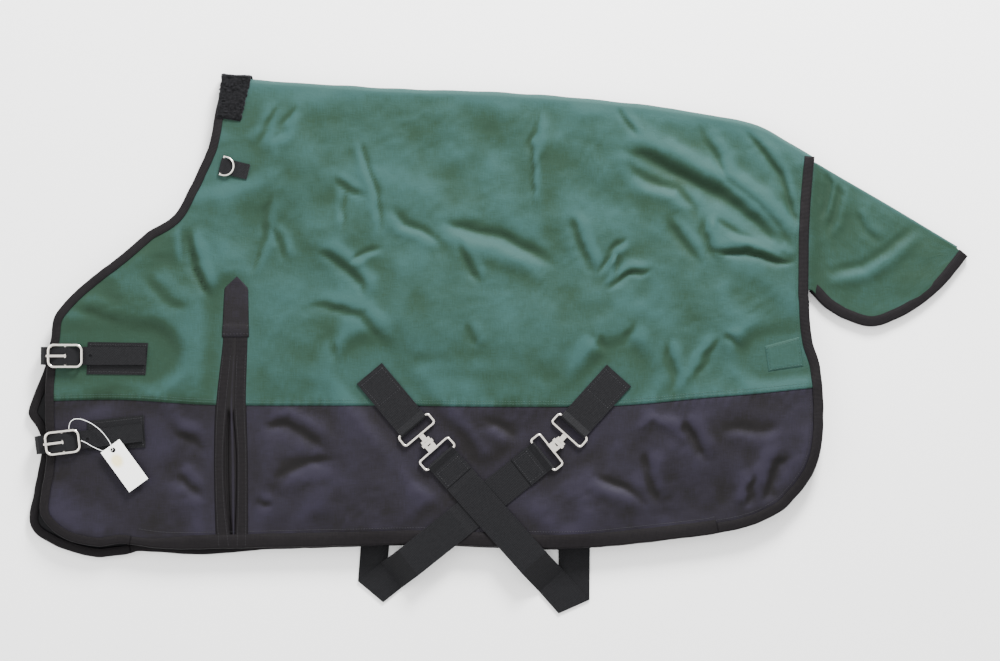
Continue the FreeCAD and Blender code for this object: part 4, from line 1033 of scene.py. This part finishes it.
ragged = 1.2 * lattice_noise(plan[..., 1], plan[..., 0], 3.0, 77)
near_pile = plan.copy()
near_pile[..., 0] += ragged * (2 * u - 1)**4
near_pile = np.dstack([near_pile, PILE_LEVEL + rim * (3.2 + tufts(plan[..., 0], plan[..., 1]))])
turn = np.linspace(0, 1, PILE_TURN + 2)[1:-1, None]
over = np.empty((PILE_TURN, PILE_COLUMNS, 3))
over[..., 0] = near_pile[-1:, :, 0]
bulge = 2.6 + 0.8 * tufts(over[..., 0], 40 * turn + 0 * over[..., 0])
over[..., 1] = plan[-1:, :, 1] + bulge * np.sin(math.pi * turn)
over[..., 2] = near_pile[-1:, :, 2] * (0.5 + 0.5 * np.cos(math.pi * turn)) + 0.1
under_plan = plan[::-1][:62:2]
under_pile = np.dstack([under_plan, 0.1 + 0 * under_plan[..., 0]])
fleece = grid_piece("withers_fleece_pile", np.vstack([near_pile, over, under_pile]), pile, None, 1.0)
stands_for(fleece, "withers_fleece")

# Card tag and its string: white coated card with a pale yellow patch, on a thin white nylon loop.
card, tree = new_material("coated_card_white")
place = add(tree, "ShaderNodeTexCoord")
speck = add(tree, "ShaderNodeTexNoise", {"Vector": place.outputs["Object"], "Scale": 400.0})
tone = add(tree, "ShaderNodeValToRGB", {"Fac": speck.outputs["Fac"]},
           stops=[(0.0, linear("#f4f3ee")), (1.0, linear("#ffffff"))])
TAG_HOLE = (-0.5995, -0.1640)
TAG_TURN = math.radians(-54.0)
PATCH_PLACE = (0.017, -0.005)
cos_turn, sin_turn = math.cos(TAG_TURN), math.sin(TAG_TURN)
patch_x = TAG_HOLE[0] + PATCH_PLACE[0] * cos_turn - PATCH_PLACE[1] * sin_turn
patch_y = TAG_HOLE[1] + PATCH_PLACE[0] * sin_turn + PATCH_PLACE[1] * cos_turn
patch_at = add(tree, "ShaderNodeMapping", {
    "Vector": place.outputs["Object"], "Rotation": (0.0, 0.0, TAG_TURN), "Scale": (0.014, 0.012, 1.0),
    "Location": (patch_x, patch_y, 0.0)}, vector_type="TEXTURE")
spot = add(tree, "ShaderNodeTexGradient", {"Vector": patch_at.outputs[0]}, gradient_type="SPHERICAL")
soft = add(tree, "ShaderNodeMapRange", {"Value": spot.outputs["Fac"], "From Max": 0.5, "To Max": 0.75})
printed = add(tree, "ShaderNodeMix", {0: soft.outputs[0], 6: tone.outputs[0], 7: linear("#e9d98c")},
              data_type="RGBA")
finish_material(tree, add(tree, "ShaderNodeBsdfPrincipled", {
    "Base Color": printed.outputs[2], "Roughness": 0.35, "Specular IOR Level": 0.5}))


def refinish(nodes, material):
    """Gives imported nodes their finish."""
    for node in nodes:
        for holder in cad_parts[node].material_slots:
            holder.material = material


for ends, webbing_parts, nickel_parts in (
        (("near", "off"), ("neck_tab",), ("neck_ring",)),
        (("upper", "lower"), ("chest_patch", "chape", "billet"), ("buckle_frame", "buckle_tongue")),
        (("front", "rear"), ("surcingle_tab", "surcingle_strap"), ("hook", "eye"))):
    refinish([f"{end}_{part}" for end in ends for part in webbing_parts], webbing)
    refinish([f"{end}_{part}" for end in ends for part in nickel_parts], nickel)
refinish(["swing_tag"], card)

# Box stitches hold the tabs and chest patches to the rug, and the straps' turned ends to themselves.
def box_stitch(name, corners, level):
    """A sewn box at one level: four rows round its corners."""
    p = [np.array(c, float) for c in corners]
    stitch_rows(name, [[p[k], p[(k + 1) % 4]] for k in range(4)], lambda x, y: level + 0 * x,
                black_thread, pitch=3.6, long=2.6)


def heading(turn):
    """The unit vector at a turn in degrees."""
    return np.array([math.cos(math.radians(turn)), math.sin(math.radians(turn))])


def box_corners(middle, turn, long, wide):
    """The corners of an oblong with its long side at the turn, in degrees."""
    ahead, across = heading(turn), heading(turn + 90)
    return [middle + ahead * u * long / 2 + across * v * wide / 2
            for u, v in ((-1, -1), (1, -1), (1, 1), (-1, 1))]


for name, stud, tab_turn, strap_turn, strap_top in (("front", (-109.2, -153.3), -50.0, -48.4, 30.25),
                                                    ("rear", (94.4, -153.4), 228.0, 218.6, 30.05)):
    box_stitch(f"{name}_tab_box_stitching",
               box_corners(np.array(stud) - 114 * heading(tab_turn), tab_turn, 42, 41), 29.85)
    box_stitch(f"{name}_strap_end_stitching",
               box_corners(np.array(stud) + 59 * heading(strap_turn), strap_turn, 24, 41), strap_top)
for name, corners in (("upper", ((-636, 0.4), (-550, -1), (-554, -43), (-638, -42))),
                      ("lower", ((-637, -123), (-557, -114), (-554, -156), (-636, -161)))):
    box_stitch(f"{name}_patch_stitching", corners, 28.25)

STRING_ROUTE = [(-668.3, -130.6, 37.2), (-667.6, -121.5, 38.8), (-659, -114.5, 39.5),
                (-646, -116, 39.5), (-631, -123, 39.5), (-617, -134, 39.5), (-606, -148, 39.3),
                (-600.2, -160, 39.0), (-599.5, -164.5, 35.5), (-603.5, -166, 31.8),
                (-612, -166.5, 32.3), (-622, -163.5, 33.8), (-633, -158, 35.8), (-642, -152, 36.9),
                (-649.2, -149.2, 37.2)]
nylon_cord, tree = new_material("nylon_cord_white")
place = add(tree, "ShaderNodeTexCoord")
twist = add(tree, "ShaderNodeTexWave", {"Vector": place.outputs["Object"], "Scale": 500.0},
            bands_direction="DIAGONAL")
tone = add(tree, "ShaderNodeValToRGB", {"Fac": twist.outputs["Fac"]},
           stops=[(0.0, linear("#cfcfcf")), (1.0, linear("#ffffff"))])
finish_material(tree, add(tree, "ShaderNodeBsdfPrincipled", {
    "Base Color": tone.outputs[0], "Roughness": 0.4}))
string_curve = bpy.data.curves.new("tag_string_loop", "CURVE")
string_curve.dimensions = "3D"
string_curve.bevel_depth = 0.0005
string_curve.bevel_resolution = 3
string_curve.use_fill_caps = True
spline = string_curve.splines.new("NURBS")
spline.points.add(len(STRING_ROUTE) - 1)
for point, (x, y, z) in zip(spline.points, STRING_ROUTE):
    point.co = (x * 0.001, y * 0.001, z * 0.001, 1.0)
spline.order_u = 3
spline.use_endpoint_u = True
spline.resolution_u = 12
string_curve.materials.append(nylon_cord)
string = bpy.data.objects.new("tag_string_loop", string_curve)
bpy.context.scene.collection.objects.link(string)
stands_for(string, "tag_string")
